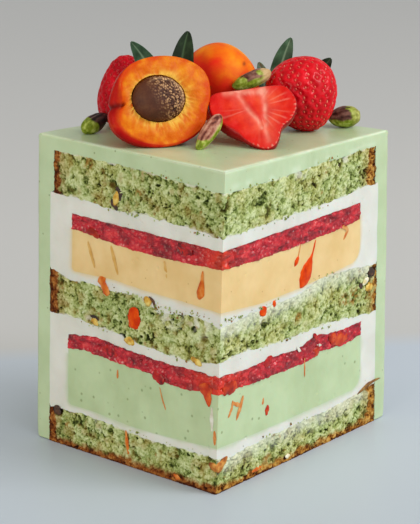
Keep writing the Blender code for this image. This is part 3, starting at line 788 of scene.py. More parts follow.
def coat():
    """A slab over the top and down the wall, between an inner and an outer path.

    The outer path has a round shoulder: a quarter circle by sine and cosine.
    """
    rounding, foot, step_down, rows = 1.8, 0.4, 1.5, 230
    # Angles from each cut in radians: the columns crowd there, where the knife left a lip.
    ends = np.array([0, 0.0035, 0.008, 0.014, 0.022, 0.034, 0.05, 0.075, 0.11])
    middle = np.linspace(-HALF_ANGLE + 0.16, HALF_ANGLE - 0.16, 34)
    angles = np.concatenate([-HALF_ANGLE + ends, middle, (HALF_ANGLE - ends)[::-1]])
    over = np.linspace(0, 1, rows)[:, None]
    turn = np.linspace(0, pi / 2, 12)[1:, None]
    down = over[1:]

    inner_at = reach(CRUST_TOP, angles)
    sponge_z = edge("sponge_top_top", over * inner_at, angles)
    corner = sponge_z[-1]
    wall_z = (corner - step_down) + (foot - corner + step_down) * down
    shoulder = edge("sponge_top_foot", 0 * down + inner_at, angles)
    wall_r = CRUST_TOP + 2.0 * smooth_step((shoulder + 0.8 - wall_z) / 0.8)
    in_r = np.concatenate([over * inner_at, 0 * turn + inner_at, reach(wall_r, angles)])
    in_z = np.concatenate([sponge_z, corner - step_down * turn / (pi / 2), wall_z])

    flat = over * reach(CAKE_RADIUS - rounding, angles)
    top_z = coat_top(flat * np.sin(angles), flat * np.cos(angles))
    turn_z = top_z[-1] - rounding * (1 - np.cos(turn))
    side_z = turn_z[-1] + (foot - turn_z[-1]) * down
    around = xyz(120 * angles, 0, side_z)          # the wall, rolled out flat
    waves = 0.22 * soft_noise(around, 17.0, 61) + 0.10 * soft_noise(around * [1, 1, 0.3], 6.0, 62)
    side_r = CAKE_RADIUS + np.minimum(waves, 0.2) - 0.2 - 0.8 * np.exp(-side_z / 1.5)
    turn_r = CAKE_RADIUS - rounding * (1 - np.sin(turn))
    out_r = np.concatenate([flat, reach(turn_r, angles), reach(side_r, angles)])
    out_z = np.concatenate([top_z, turn_z, side_z])

    w = np.linspace(0, 1, 13)[:, None, None]
    outermost = np.clip(w * 6 - 5, 0, 1)
    distance = in_r + (out_r - in_r) * w
    lip = (HALF_ANGLE - np.abs(angles)) * distance
    top_only = np.arange(len(in_r))[:, None] < rows
    drop = 0.35 * np.clip(1 - lip / 1.5, 0, 1) ** 2 * outermost
    z = in_z + (out_z - in_z) * w - np.where(top_only, drop, 0)

    def relief(face, side):
        return drag(face, side) * 0.8 - 0.25 * outermost[:, :, 0] ** 2

    def marks(points):
        # A painted highlight along the top edge of each cut, stronger on the lit right cut.
        painted_edge_highlight = bell(lip, 0.9) * smooth_step((w - 0.86) / 0.12)
        painted_edge_highlight = painted_edge_highlight * (0.42 + 0.3 * soft_noise(points, 9.0, 64))
        smeared = smooth_step((0.5 - w) / 0.4) * smooth_step(2 * soft_noise(points, 5.0, 63) - 0.2)
        right = smooth_step(0.5 + angles / HALF_ANGLE)
        return {"tint": np.maximum((1 + 0.4 * right) * painted_edge_highlight, 0.4 * smeared * right) * top_only}

    slab("coat_icing", distance, z, angles, ICING, "coat", relief, marks=marks, sharp=70)


coat()

# %% [markdown]
# ## What the knife left on the cuts
# The knife drew juice down the cut, pulled clots out of the jelly, chopped nuts and moved bits of
# crust. Each of these is a rounded lens along a short path on the cut face: flat and thin for a
# dried streak, thick for a nut, and wide where it hangs heavy. Painted on, they would follow the
# crumb below them. As meshes they stand proud of it and catch the light, as the real ones do.

# %% Lenses along a path
def circle(count):
    """Angles all the way round, as one row."""
    return np.linspace(0, 2 * pi, count, endpoint=False)[None, :]


def simple_material(name, hexes, size, **sockets):
    """A material of three hues spread by noise with a grain of that many millimetres."""
    return finish(name, tuple(zip((0.34, 0.5, 0.66), hexes)), (size,), **sockets)


def closed(rings):
    """Triangles of a skin round a stack of rings (count, size), with one pole at each end."""
    count, size = rings
    number = np.arange(count * size).reshape(count, size)
    wrapped = np.concatenate([number, number[:, :1]], axis=1)
    first, last = np.full(size, count * size), np.full(size, count * size + 1)
    return np.concatenate([as_triangles(sheet(wrapped)),
                           np.stack([wrapped[0, 1:], wrapped[0, :-1], first], axis=1),
                           np.stack([wrapped[-1, :-1], wrapped[-1, 1:], last], axis=1)])


def drips(name, slot, thick, finish_name, hexes, grain, roughness, specular, *paths):
    """Thin lenses on the cut faces; each path is a side and (distance, height, half width) steps.

    A ring of points is carried along the smoothed path: over a turn it goes across by the cosine
    and out of the cut by the sine. All lengths are in mm.
    """
    rows, size = 26, 12                  # rings along the path, and points in each
    points, triangles = [], []
    turn = circle(size)
    for side, *steps in paths:
        t, z, half = np.array(steps, float).T
        s = np.linspace(0, 1, len(t))
        u = np.linspace(0, 1, rows)
        t, z = np.interp(u, s, t), np.interp(u, s, z)
        for line in (t, z, t, z, t, z):
            line[1:-1] = (line[:-2] + line[1:-1] * 2 + line[2:]) / 4
        half = np.interp(u, s, half) * np.sqrt(np.clip(1 - np.abs(2 * u - 1) ** 8, 0.02, 1))
        half = (half * (1 + 0.08 * np.sin(9 * u + t[0]) + 0.05 * np.sin(21 * u + 2 * t[0])))[:, None]
        middle = in_slice(t, side * HALF_ANGLE, z)
        outward = off_cut(side)
        across = unit(np.cross(np.gradient(middle, axis=0), outward))[:, None]
        height = np.sin(turn) * np.where(np.sin(turn) > 0, thick, 0.5)
        height = height * np.clip(half / 1.6, 0.25, 1)
        rings = (middle[:, None] + across * (half * np.cos(turn))[..., None]
                 + outward * (height + 0.12)[..., None])
        rings = rings + outward * (0.08 * soft_noise(rings, 1.5, 66))[..., None]
        rings = rings + across * (0.14 * half * soft_noise(rings, 1.8, 67))[..., None]
        triangles.append(closed((rows, size)) + sum(len(part) for part in points))
        points += [rings.reshape(-1, 3), rings[0].mean(0)[None], rings[-1].mean(0)[None]]
    material = simple_material(finish_name, hexes, grain, Roughness=roughness,
                               Specular_IOR_Level=specular)
    make_piece(name, np.concatenate(points), np.concatenate(triangles), material)


print("four rings of six points close to", len(closed((4, 6))), "triangles")

# %% [markdown]
# ## Juice
# Juice is brightest where it is fresh, and hangs in drops that are wide at their lower end. Where
# it has run thin it is orange, and where it has dried it is a matt streak with hardly any relief.

# %% Juice
drips("juice_drips", "berry", 0.5, "berry_juice", ("#C02C00", "#D84000", "#E65606"), 4, 0.32, 0.1,
      (-1, (45.8, 64.6, 1.4), (44, 63.4, 3.6), (43.6, 61.4, 3), (42.8, 59.4, 3.2),
       (41.4, 57.2, 1.6)),
      (1, (57, 87.5, 0.5), (55.4, 82.7, 0.45), (54.2, 80.9, 0.9), (52.6, 77.6, 3.3),
       (50.9, 74.4, 3.9), (49.2, 72, 2.6), (47.6, 70.1, 0.9)),
      (1, (46.1, 83.4, 0.5), (45.3, 81.8, 1.3), (44.6, 80.8, 1), (43.9, 79.7, 0.4)),
      (1, (25.8, 68.4, 1.2), (25.2, 66.8, 2.2), (24.7, 64.6, 1.4)),
      (1, (31.4, 69.2, 0.7), (31.8, 67.6, 1.1), (31.5, 66.6, 0.5)))
drips("orange_drips", "berry", 0.35, "orange_juice", ("#C04E10", "#D4701E", "#DE8E46"), 3, 0.3, 0.2,
      (-1, (61.6, 74.8, 1.2), (60.9, 73.4, 2.3), (60, 72, 1.5), (58.6, 70.2, 2), (58, 68.4, 1.7),
       (57.9, 67.4, 0.7)),
      (-1, (9.3, 86.7, 0.5), (9.5, 83, 0.9), (9.9, 79.5, 1.6), (10.3, 77.2, 1.8), (10.9, 75.4, 1)),
      (-1, (46.7, 14.8, 0.4), (46.1, 9.9, 0.9), (44.9, 4.3, 0.5)),
      (-1, (21.4, 2.8, 0.4), (19.6, 2.2, 1.2), (17.8, 1.8, 0.4)),
      (1, (20.6, 2.6, 0.4), (23.4, 2.8, 0.9), (26.4, 3, 0.5)))
drips("dried_streaks", "mousse_yellow", 0.1, "dried_streak", ("#D09E50", "#D6A75A", "#DBB068"), 3,
      0.5, 0.2,
      (-1, (68.4, 87.6, 0.5), (66.6, 82.6, 0.8), (64.5, 77.5, 0.4)),
      (-1, (56.1, 88.2, 0.5), (54.2, 82.6, 0.9), (52.2, 77, 0.5)),
      (-1, (28.5, 87, 0.4), (27.8, 84, 0.7), (27, 80.5, 0.3)))
drips("thin_juice_marks", "berry", 0.16, "thin_juice", ("#C8682A", "#D28440", "#DAA062"), 3, 0.4,
      0.2,
      (-1, (51.6, 38.6, 0.3), (51.6, 36.4, 0.6), (51.6, 35, 0.3)),
      (-1, (29.5, 36.5, 0.25), (28, 32, 0.3), (26, 28, 0.4)),
      (1, (47.4, 87.9, 0.3), (46.8, 85.6, 0.4), (46.1, 83.4, 0.4)),
      (1, (73.8, 88.6, 0.8), (76.2, 88.4, 0.9), (78, 86.6, 0.9), (76.6, 84.6, 0.8),
       (75.2, 83.2, 0.4)),
      (1, (8.4, 35.6, 0.6), (8, 32.9, 0.7), (6.7, 30.4, 0.6), (5.8, 29.3, 0.3)),
      (1, (8.3, 34.6, 0.6), (10.8, 33.2, 0.9), (13, 32.2, 0.6)),
      (1, (14.5, 35.8, 0.6), (13.2, 32.3, 1), (11.8, 29.4, 0.8), (10.8, 26.7, 0.4)),
      (1, (26.6, 31.3, 0.4), (26.3, 29.6, 0.7), (26.2, 28.6, 0.4)),
      (1, (51.7, 40.6, 0.35), (51.8, 37, 0.4), (52, 32.6, 0.3)),
      (-1, (1.4, 25.6, 0.4), (1.2, 23, 0.9), (1.1, 19.8, 0.4)))

# %% [markdown]
# ## Lumps of berry and smears of cream
# Whole drupelets and clots of jelly stick out of the red layers. They are the same lenses, only
# thicker: the lumps are ripe and light, the clots dark and wet. The smears of cream are thin
# again, where the knife carried some of it into the jelly and the green mousse.

# %% Lumps and smears
drips("berry_lumps", "berry", 0.5, "berry_lump", ("#8E1606", "#C03006", "#D85C1E"), 4.5, 0.24, 0.3,
      (-1, (6.6, 43.5, 3.6), (5.8, 40, 3), (5, 37.4, 1.6), (4.4, 34.4, 0.5)),
      (1, (2, 41.6, 2.4), (6.5, 41.2, 2.8), (10.5, 41.6, 1.8)),
      (1, (67, 45.4, 1.6), (70.5, 43.6, 2.6), (75.5, 41.8, 3), (79.5, 42.6, 1.6)),
      (1, (60.8, 42.6, 1.4), (58.4, 40.8, 2), (57, 39.4, 0.9)),
      (1, (29.3, 27.6, 0.6), (29.1, 25.6, 1.3), (28.7, 23.4, 0.7)),
      (-1, (69, 91.6, 0.7), (65.6, 91.8, 1.7), (62.3, 90.2, 1.2)))
drips("berry_clots", "berry", 0.4, "berry_clot", ("#5C040A", "#A40E10", "#C82410"), 3, 0.26, 0.35,
      (-1, (33, 41.6, 2.2), (30, 40.2, 2.2), (27.4, 38.4, 1.4)),
      (-1, (60, 46.4, 1.6), (56, 45.4, 2.4), (52, 44.4, 1.6)),
      (-1, (22, 95, 1.2), (18.6, 93.4, 2.4), (14.6, 92.2, 1.4)),
      (1, (31.4, 46.8, 0.8), (28.9, 45.6, 2), (26.4, 44, 1.2)),
      (1, (11.6, 42.4, 0.9), (14.6, 42.4, 1.7), (17.6, 42.6, 0.9)),
      (1, (56.9, 49, 0.6), (58, 47.4, 1.5), (59.4, 45.2, 0.9)))
drips("cream_smears", "cream", 0.12, "smeared_cream", ("#D0C8B4", "#DEDCCC", "#E8E4DC"), 3, 0.5,
      0.25,
      (1, (46.6, 46.4, 0.3), (48, 45, 0.7), (49.6, 43, 0.3)),
      (1, (59.4, 43.8, 0.3), (60.8, 43.3, 0.6), (62.4, 43, 0.3)),
      (-1, (3.1, 34.6, 0.4), (2.9, 30, 0.9), (2.6, 25, 0.5)))

# %% [markdown]
# ## Nuts and bits of crust
# Chopped pistachio shows gold where it was roasted, white where it was blanched and nearly black
# where its skin curls off. Bits of crust were pushed aside by the knife and dull the cut. These
# stand highest of all the lenses, because they are hard and the crumb round them is not.

# %% Nuts and crust
drips("chopped_nuts", "nut", 0.7, "chopped_nut", ("#96621A", "#D2A22E", "#E6CC70"), 2.8, 0.55, 0.5,
      (-1, (52.8, 110.4, 0.5), (53.4, 108.4, 1.3), (53.9, 106.4, 1.5), (54.6, 104.2, 0.7)),
      (-1, (38.4, 70.6, 1), (36.4, 69.6, 2), (34.8, 68.6, 1.3)),
      (-1, (66, 56.4, 0.9), (64, 55.6, 1.5), (62.2, 54.6, 0.8)),
      (-1, (48.5, 51.6, 0.8), (45.4, 51.8, 1.8), (43, 50.8, 0.9)),
      (-1, (14, 51.8, 0.8), (11, 50.8, 1.5), (8.6, 49.8, 0.7)),
      (1, (90.8, 59.2, 1), (93, 59.2, 2), (95.4, 59.6, 1.4)))
drips("pale_nut", "nut", 0.7, "blanched_nut", ("#D8C88C", "#E8E0C0", "#F0ECD8"), 2, 0.5, 0.5,
      (1, (88.8, 61.2, 0.6), (90.8, 62.4, 1.4), (93, 63.2, 0.7)),
      (1, (40.8, 2.6, 0.4), (42.2, 2.3, 1.1), (43.8, 2.2, 0.5)))
drips("nut_skins", "nut", 0.5, "nut_skin", ("#1C130C", "#3A2212", "#5C3820"), 2, 0.6, 0.5,
      (-1, (53.6, 111.6, 1.2), (51.4, 109.4, 1), (51.8, 106.4, 0.6)),
      (-1, (55.8, 106.6, 0.6), (55.6, 104.4, 0.8), (52.6, 102.8, 0.9)),
      (-1, (35.8, 71.6, 0.5), (33.6, 70, 0.7), (32.6, 67.6, 0.4)),
      (-1, (66.6, 57.6, 0.6), (64, 57.6, 0.7), (61.8, 56.6, 0.5)),
      (1, (87, 62.2, 0.6), (87.8, 61.2, 1.2), (88.6, 60, 0.6)),
      (1, (92.8, 66.4, 1.4), (95, 65.2, 2), (96.8, 64, 1.2)),
      (-1, (86, 15.6, 1.2), (84.4, 14.2, 2.2), (82.6, 12.6, 1)))
drips("crust_chunks", "sponge", 0.8, "crust_chunk", ("#7E3C0C", "#B26A20", "#CC9040"), 2.6, 0.8, 0.5,
      (1, (-0.4, 9.8, 1.7), (1.6, 10.8, 2.1), (4, 12.4, 1.5), (6, 13.8, 0.6)),
      (-1, (3.6, 12, 0.8), (1.6, 11.2, 1.5), (-0.4, 10.2, 1.7)))
drips("crust_curl", "sponge", 0.8, "crust_curl", ("#5A3412", "#7E5422", "#A07A3A"), 2, 0.8, 0.5,
      (1, (86.5, 15, 0.4), (90, 16.2, 0.7), (94, 17.3, 0.9), (98, 17.9, 0.6), (102, 17.8, 0.3)))

# %% [markdown]
# ## Loose crumbs
# A knife carries crumbs from the sponge into the soft cream beside it. They lie thickest where the
# cream has run into the sponge. Each is a lump of 48 faces, placed by seeded chance round a few
# places on the cut, and all of them are one mesh.

# %% Loose crumbs
def pole_to_pole(count, gap=0.03):
    """Angles from one pole of a ball to the other as one column, less a gap at each end."""
    return np.linspace(gap, pi - gap, count)[:, None]


def small_balls(count):
    """Triangles of that many small balls, one after the other."""
    each = closed((4, 6))[None] + len(SMALL_BALL) * np.arange(count)[:, None, None]
    return each.reshape(-1, 3)


RING, WAY = np.sin(pole_to_pole(4, 0.5)), circle(6)
SMALL_BALL = np.concatenate([
    xyz(RING * np.cos(WAY), RING * np.sin(WAY), np.cos(pole_to_pole(4, 0.5))).reshape(-1, 3),
    [[0, 0, 1.0], [0, 0, -1.0]]])


def crumbs(clusters, seed):
    """Small uneven lumps at random places round the middle of each cluster on a cut face.

    A cluster is a side, a distance, a height, the spread of both, and how many crumbs.
    """
    chance = np.random.default_rng(seed)
    side, t, z, spread_t, spread_z, number = np.array(clusters).T
    pick = np.repeat(np.arange(len(t)), number.astype(int))
    count, side = len(pick), side[pick]
    t = t[pick] + spread_t[pick] * chance.normal(size=count) * 0.5
    z = z[pick] + spread_z[pick] * chance.normal(size=count) * 0.5
    size = (0.22 + 0.42 * chance.random(count) ** 2)[:, None, None]
    squash = 0.6 + 0.5 * chance.random((count, 1, 3))
    uneven = 1 + 0.25 * chance.normal(size=(count, len(SMALL_BALL), 1))
    points = (in_slice(np.abs(t), side * HALF_ANGLE, z)[:, None]
              + off_cut(side)[:, None] * (0.25 * size) + SMALL_BALL * squash * size * uneven)
    height = np.repeat(0.45 + 0.4 * chance.random(count), len(SMALL_BALL))
    crust = np.repeat(0.8 * (chance.random(count) > 0.88), len(SMALL_BALL))
    make_piece("loose_crumbs", points.reshape(-1, 3), small_balls(count), SPONGE,
               marks={"height": height, "crust": crust})


crumbs((
    (-1, 32, 67.2, 5, 2.6, 26), (-1, 25, 67.4, 8, 2.4, 18), (-1, 11, 69.2, 9, 1.4, 16),
    (1, 8, 68, 8, 1.4, 14), (1, 25, 68.8, 12, 1.1, 12), (1, 60, 71.4, 16, 0.9, 10),
    (-1, 52, 70.6, 12, 1, 10), (-1, 45, 102.2, 26, 0.8, 14), (-1, 12, 100.6, 9, 0.8, 8),
    (1, 40, 100.2, 34, 0.9, 16), (1, 20, 117.6, 14, 0.7, 8), (1, 70, 117.8, 18, 0.7, 8),
    (-1, 30, 119.6, 24, 0.8, 14), (-1, 25, 50.2, 16, 0.8, 8), (-1, 62, 53.6, 16, 0.8, 8),
    (1, 30, 51.4, 26, 0.8, 10), (1, 76, 50, 16, 0.9, 10), (-1, 40, 15, 34, 0.8, 12),
    (1, 45, 15, 36, 0.7, 10),
), 7)

# %% [markdown]
# ## Fruit skins
# A fruit is a stack of rings, each with a radius that depends on how far along the axis it is. The
# solids have a few rings; these have many, so that pits, seams and fibres are real relief. The
# finished skin is turned, moved to its place and flattened where it lies on the icing.

# %% Fruit helpers
def turn_points(points, tilt, roll, yaw):
    """Turn about X, then Y, then Z, in degrees."""
    a, b, c = radians(tilt), radians(roll), radians(yaw)
    about_x = np.array([[1, 0, 0], [0, cos(a), -sin(a)], [0, sin(a), cos(a)]])
    about_y = np.array([[cos(b), 0, sin(b)], [0, 1, 0], [-sin(b), 0, cos(b)]])
    about_z = np.array([[cos(c), -sin(c), 0], [sin(c), cos(c), 0], [0, 0, 1]])
    return points @ (about_z @ about_y @ about_x).T


def rest_on_coat(points, sink=0.1):
    """Points lower than the icing are lifted to it, so that the fruit lies on a flat patch."""
    x, y, z = np.moveaxis(points, -1, 0)
    return xyz(x, y, np.maximum(z, coat_top(x, y) - sink))


def outward_of(rings):
    """Unit normals of a ring grid: the cross product of its two directions, facing outwards."""
    across = np.roll(rings, -1, axis=1) - np.roll(rings, 1, axis=1)
    normal = unit(np.cross(np.gradient(rings, axis=0), across), 1e-9)
    facing = np.sum(normal * (rings - rings.mean((0, 1))), axis=-1).mean()
    return normal if facing > 0 else -normal


def swell(rings, height):
    """Rings moved outwards by a height in millimetres."""
    return rings + outward_of(rings) * height[..., None]


def off(around, degrees):
    """Angle from a direction in degrees, from minus to plus half a turn."""
    return np.mod(around - radians(degrees) + pi, 2 * pi) - pi


def toward(around, degrees):
    """1 in a direction in degrees and 0 a quarter turn away from it: the cosine."""
    return np.maximum(np.cos(around - radians(degrees)), 0)


def fruit(name, rings, centre, turn, material, node, marks, poles=None):
    """Close the rings with a pole at each end, place them and make the piece."""
    if poles is None:
        poles = [rings[0].mean(0), rings[-1].mean(0)]
    points = np.concatenate([rings.reshape(-1, 3), poles])
    points = rest_on_coat(turn_points(points, *turn) + np.array(centre))
    marked = {key: np.concatenate([value.ravel(), value[0, :1], value[-1, :1]])
              for key, value in marks.items()}
    make_piece(name, points, closed(rings.shape[:2]), material, [node], marked)


print("X, turned a quarter about Z:", turn_points(np.array([1.0, 0.0, 0.0]), 0, 0, 90).round(3))

# %% [markdown]
# ## Strawberries
# A strawberry's seeds sit in pits on a spiral, about 3 mm apart, so the golden angle places them:
# each seed is turned by 137.5 degrees from the last one. The skin swells between the pits to a net
# of soft crests, and that net is what shines. Each seed is a small oval of a few dozen faces. Red
# skin looks pink as soon as it mirrors a white room, so its gloss is low and sharp.

# %% Strawberries
GOLDEN_ANGLE = 2.39996


def strawberry(name, shape, centre, turn, hexes, gloss, count, seed_material):
    """Skin rings, with pits and seeds on a golden-angle spiral.

    The radius is the half width times the sine of the angle from the cap to the power of the
    fullness, times one plus the narrowing times that angle's cosine. The skin rises with the
    distance to the nearest seed, so it has a crest between every two. The shape is the length,
    half width, narrowing and fullness; the gloss is a share.
    """
    length, half_width, narrowing, fullness = shape

    def surface(polar, around):
        lobes = 1 + 0.03 * np.cos(2 * around + 0.6) + 0.02 * np.cos(3 * around + 1.1)
        radius = half_width * np.sin(polar) ** fullness * (1 + narrowing * np.cos(polar)) * lobes
        return xyz(radius * np.cos(around), radius * np.sin(around), 0.5 * length * np.cos(polar))

    rings = surface(pole_to_pole(110), circle(170))
    seed_reach, crest_reach = 0.7, 1.6   # mm from a seed: where its pit ends, and its crest is full
    k = np.arange(count)
    polar = np.arccos(1 - 2 * (k + 0.5) / count)
    around = (k * GOLDEN_ANGLE + 0.07 * np.sin(k * 1.7)) % (2 * pi)
    seed_at = surface(polar, around)
    gap = np.full(rings.shape[:2], 9.0)
    for one in seed_at:
        gap = np.minimum(gap, np.linalg.norm(rings - one, axis=-1))
    pit = bell(gap, seed_reach)
    crest = 0.5 * np.clip(gap / crest_reach, 0, 1) ** 1.4
    normal = outward_of(rings)
    rings = rings + normal * (crest - 0.22 - 0.3 * pit)[..., None]
    rings = rings + normal * (0.12 * soft_noise(rings, 5.0, 71))[..., None]
    # Ripe skin: shiny red with painted shade in the pits, and the light of the room in a thin
    # clear coat.
    skin = finish("strawberry_skin_" + ("bright" if gloss > 0.2 else "deep"),
                  tuple(zip((0.3, 0.5, 0.7), hexes)), (7,), {"pit": "#7A0610"}, (0.6, 2.0),
                  (0.12, 0.3), Roughness=0.34, Specular_IOR_Level=0.06, Coat_Weight=gloss,
                  Coat_Roughness=0.05)
    # The pit mark darkens the skin round each seed: painted shade.
    fruit(name + "_skin", rings, centre, turn, skin, name, {"pit": pit * 0.4})

    step = 1e-3
    down = unit(surface(polar + step, around) - seed_at)
    side = surface(polar, around + step) - seed_at
    side = unit(side - down * np.sum(side * down, axis=1, keepdims=True), 1e-12)
    up = np.cross(down, side)
    up = up * np.sign(np.sum(up * (seed_at - seed_at.mean(0)), axis=1, keepdims=True))
    oval = SMALL_BALL[:, [2, 0, 1]] * [0.55, 0.32, 0.24] - [0, 0, 0.24]
    seeds = seed_at[:, None] + sum(oval[:, i:i + 1] * way[:, None]
                                   for i, way in enumerate((down, side, up)))
    points = turn_points(seeds, *turn) + np.array(centre)
    above = points[..., 2].min(1) > coat_top(centre[0], centre[1]) + 0.2
    make_piece(name + "_seeds", points[above].reshape(-1, 3), small_balls(above.sum()),
               seed_material)


# The left strawberry is a deeper crimson of its own, and its reds and seeds are also darkened as
# painted shade, as it stands behind in shade.
strawberry("strawberry_left", (27.8, 12.0, 0.38, 0.8), (-30.1, 84.5, 139.5), (180, -7, 0),
           ("#9C0012", "#B80416", "#CE0E20"), 0.12, 210,
           simple_material("strawberry_seed_deep", ("#A81A1A", "#B42A26", "#BE4038"), 2.0,
                           Roughness=0.5, Specular_IOR_Level=0.1))
strawberry("strawberry_right", (29.8, 13.5, 0.16, 1.0), (38.5, 76.6, 137.3), (-24, -19, 0),
           ("#B80010", "#D00416", "#E00E1E"), 0.26, 290,
           simple_material("strawberry_seed", ("#C42C1C", "#DC5038", "#EE8060"), 2.0,
                           Roughness=0.4))

# %% [markdown]
# ## Cut fruit
# A cut face is a flat shape with soft corners: the sum of high powers of how far each straight
# side lets it reach. The same outline, shrunk ring by ring, makes the round skin behind. Both cut
# fruits use these two helpers, so that the rim of the flesh and the skin always meet.

# %% Cut-fruit helpers
def soft_outline(angles, sides, oval=None, sharpness=8):
    """Radius at each angle of a flat shape inside straight sides and an oval, corners soft."""
    inverse = sum((toward(angles, facing) / distance) ** sharpness for facing, distance in sides)
    if oval:
        half_width, half_height, turned = oval
        a = angles - radians(turned)
        inverse = inverse + np.hypot(np.cos(a) / half_width, np.sin(a) / half_height) ** sharpness
    return inverse ** (-1 / sharpness)


def flat_ring(outline, angles, depth):
    """A ring in a plane at a depth."""
    return xyz(outline * np.cos(angles), outline * np.sin(angles), depth)


square = soft_outline(np.radians([0.0, 45.0]), ((0, 10), (90, 10), (180, 10), (270, 10)))
print("a soft square reaches", square.round(1), "mm to its side and to its corner")

# %% [markdown]
# ## Half apricot
# A ripe apricot splits at its seam and leaves the stone in one half. From the middle outwards the
# rings are the socket of the stone, the moist cut face, the rolled rim and the round skin. Pale
# fibres reach out from the stone, longest below it. They are both relief and a mark for the
# material, worked out from one noise that is stretched outwards, so light and colour agree.

# %% Half apricot
APRICOT_AT, APRICOT_TURN = (-19.5, 46.6, 142.7), (67, -2, 17)
STONE_SIZE, STONE_PLACE = np.array([10.4, 8.7, 6.6]), np.array([-1.3, 0.9, 0.0])
# Cut apricot: moist orange flesh, pale fibres round the stone, red skin behind, painted shade in
# the cleft.
APRICOT_FLESH = finish("apricot_flesh", ((0.32, "#C85204"), (0.5, "#D26608"), (0.7, "#DC8414")),
                       (3.5, 4.0),
                       {"fibre": "#E8B448", "rim": "#C83404",
                        "skin": (((0.38, "#98060A"), (0.56, "#B41A10"), (0.75, "#CC5010")), 11, 4.0),
                        "cleft": "#4E0A08"},
                       (1.0, 3.0), (0.35, 0.5), Roughness=0.36, Specular_IOR_Level=0.07)


def apricot_half():
    """Socket, cut face, rounded rim and round back as one stack of rings.

    Towards the back the outline shrinks by a cosine, while the depth grows by the sine.
    """
    around = circle(260)
    outline = soft_outline(around, ((-15, 19.6), (158, 19.4)), (22.2, 16.7, 4))
    outline = outline * (1 - 0.045 * bell(off(around, -18), 0.2))
    cleft = bell(off(around, 179), 0.06)
    outline = outline * (1 - 0.05 * cleft)
    width, tall, deep = STONE_SIZE + 0.5
    x, y, _ = STONE_PLACE + [0.2, 0.2, 0]
    steep = np.linspace(0.08, pi / 2, 22)[:, None]
    socket = xyz(width * np.sin(steep) * np.cos(around) + x,
                 tall * np.sin(steep) * np.sin(around) + y, -deep * np.cos(steep))
    share = np.linspace(0, 1, 56)[1:, None, None]
    flat_share = 0.985                   # the rim starts to roll here, and sooner on the left
    limit = flat_share - 0.11 * bell(off(around, 172), 0.3) - 0.07 * bell(off(around, 202), 0.75)
    face = socket[-1:] * (1 - share) + flat_ring(outline * limit, around, 0.0) * share
    face[..., 2] += 0.35 * np.sin(share[..., 0] * pi)
    roll = np.linspace(0, pi / 2, 9)[1:, None]
    lip = flat_ring(outline * (limit + (1.05 - limit) * np.sin(roll)), around,
                    face[-1:, :, 2] - (0.7 + 17 * (flat_share - limit)) * (1 - np.cos(roll)))
    tilt = np.radians(np.linspace(9, 86, 40))[:, None]
    back = flat_ring(outline * 1.06 * np.cos(tilt) ** 0.8, around, -16.8 * np.sin(tilt) - 0.9)
    rings = np.concatenate([socket, face, lip, back])

    first, last = len(socket) - 1, len(socket) + len(face)
    place = np.arange(len(rings))[:, None] + 0 * around
    on_face = ((place >= first) & (place < last)).astype(float)
    out_share = np.clip((place - first) / len(face), 0, 1)
    rays = flat_ring(1.0, around, 0.0) * 9.0
    streak = soft_noise(rays + out_share[..., None] * 1.2, 0.55, 81)
    streak = streak + 0.6 * soft_noise(rays * 1.6, 0.6, 82)
    low = toward(around, -112)
    rayed = smooth_step(1.6 * low + 0.25)
    torn_near = smooth_step(0.5 + 0.9 * soft_noise(rings, 2.0, 86) + 0.25 * streak)
    fibre = smooth_step(0.35 + 1.2 * streak) * rayed + torn_near * (1 - rayed)
    fibre = fibre * bell(out_share, 0.15 + 0.2 * low + 0.22 * toward(around, 8))
    far = 0.07 * smooth_step(0.9 * streak - 0.1) + 0.2 * smooth_step(soft_noise(rings, 1.7, 87))
    far = far * bell(out_share, 0.65)
    pale = 0.3 * bell(out_share, 0.06)
    glow = 0.3 * bell(out_share, 0.4) * (0.7 + 0.5 * soft_noise(rings, 5.0, 84))
    fibre = np.clip(fibre * 0.8 + far + pale + glow, 0, 0.9) * on_face
    ripple = 0.22 * streak * np.exp(-out_share * 2) + 0.25 * soft_noise(rings, 3.0, 83)
    rings[..., 2] += ripple * on_face
    bare_lip = smooth_step(1.4 * np.cos(around - radians(50)) + 0.4)
    soft = bell(off(around, 178), 0.7)
    skin = smooth_step((place - (last - 0.5) + 5 * soft - 6 * bare_lip) / (1.5 + 6.5 * soft))
    low_right, upper_left = toward(around, -38) ** 4, toward(around, 158) ** 3
    blotch = 0.8 + 0.6 * soft_noise(rings, 4.0, 85)
    rim = smooth_step((out_share * blotch ** 0.3 - 0.8 + 0.3 * low_right + 0.26 * upper_left)
                      / (0.28 + 0.2 * upper_left)) * (0.7 + 0.3 * upper_left) * (1 - skin)
    torn = bell(off(around, 184), 0.3) * bell(out_share, 0.3)
    torn = torn * smooth_step(0.6 + soft_noise(rings, 1.2, 88))
    rim = np.maximum(rim, 0.8 * torn * on_face)
    # The cleft mark darkens the groove of the seam: painted shade.
    dark = cleft * smooth_step((out_share - 0.66) / 0.3) * (place < last + 18)
    rings[..., 2] -= 1.1 * dark * on_face
    fruit("apricot_half_cut", rings, APRICOT_AT, APRICOT_TURN, APRICOT_FLESH,
          "apricot_half", {"fibre": fibre, "rim": rim, "skin": skin, "cleft": 0.8 * dark},
          np.array([[x, y, -deep], [0, 0, -17.4]]))


apricot_half()

# %% [markdown]
# ## Apricot stone
# The stone is a flattened oval of brown wood with a raised line along its edge. One side is nearly
# smooth and the other is pitted like a golf ball, only finer. Cells 0.85 mm apart give the pits:
# real ones are a little closer, but those would be lost at this distance.

# %% Apricot stone
# Woody brown shell: dull and dark, with painted shade making the grooves nearly black and painted
# highlights on the crests between pits and on the ridge.
STONE = finish("apricot_stone_shell", ((0.32, "#452316"), (0.5, "#522B1A"), (0.70, "#623A22")),
               (5, 4.0, 0.55), {"groove": "#1E0E07", "crest_highlight": "#D4A674"}, (0.7, 3.0), (0.5, 0.3),
               Roughness=0.55, Specular_IOR_Level=0.25)


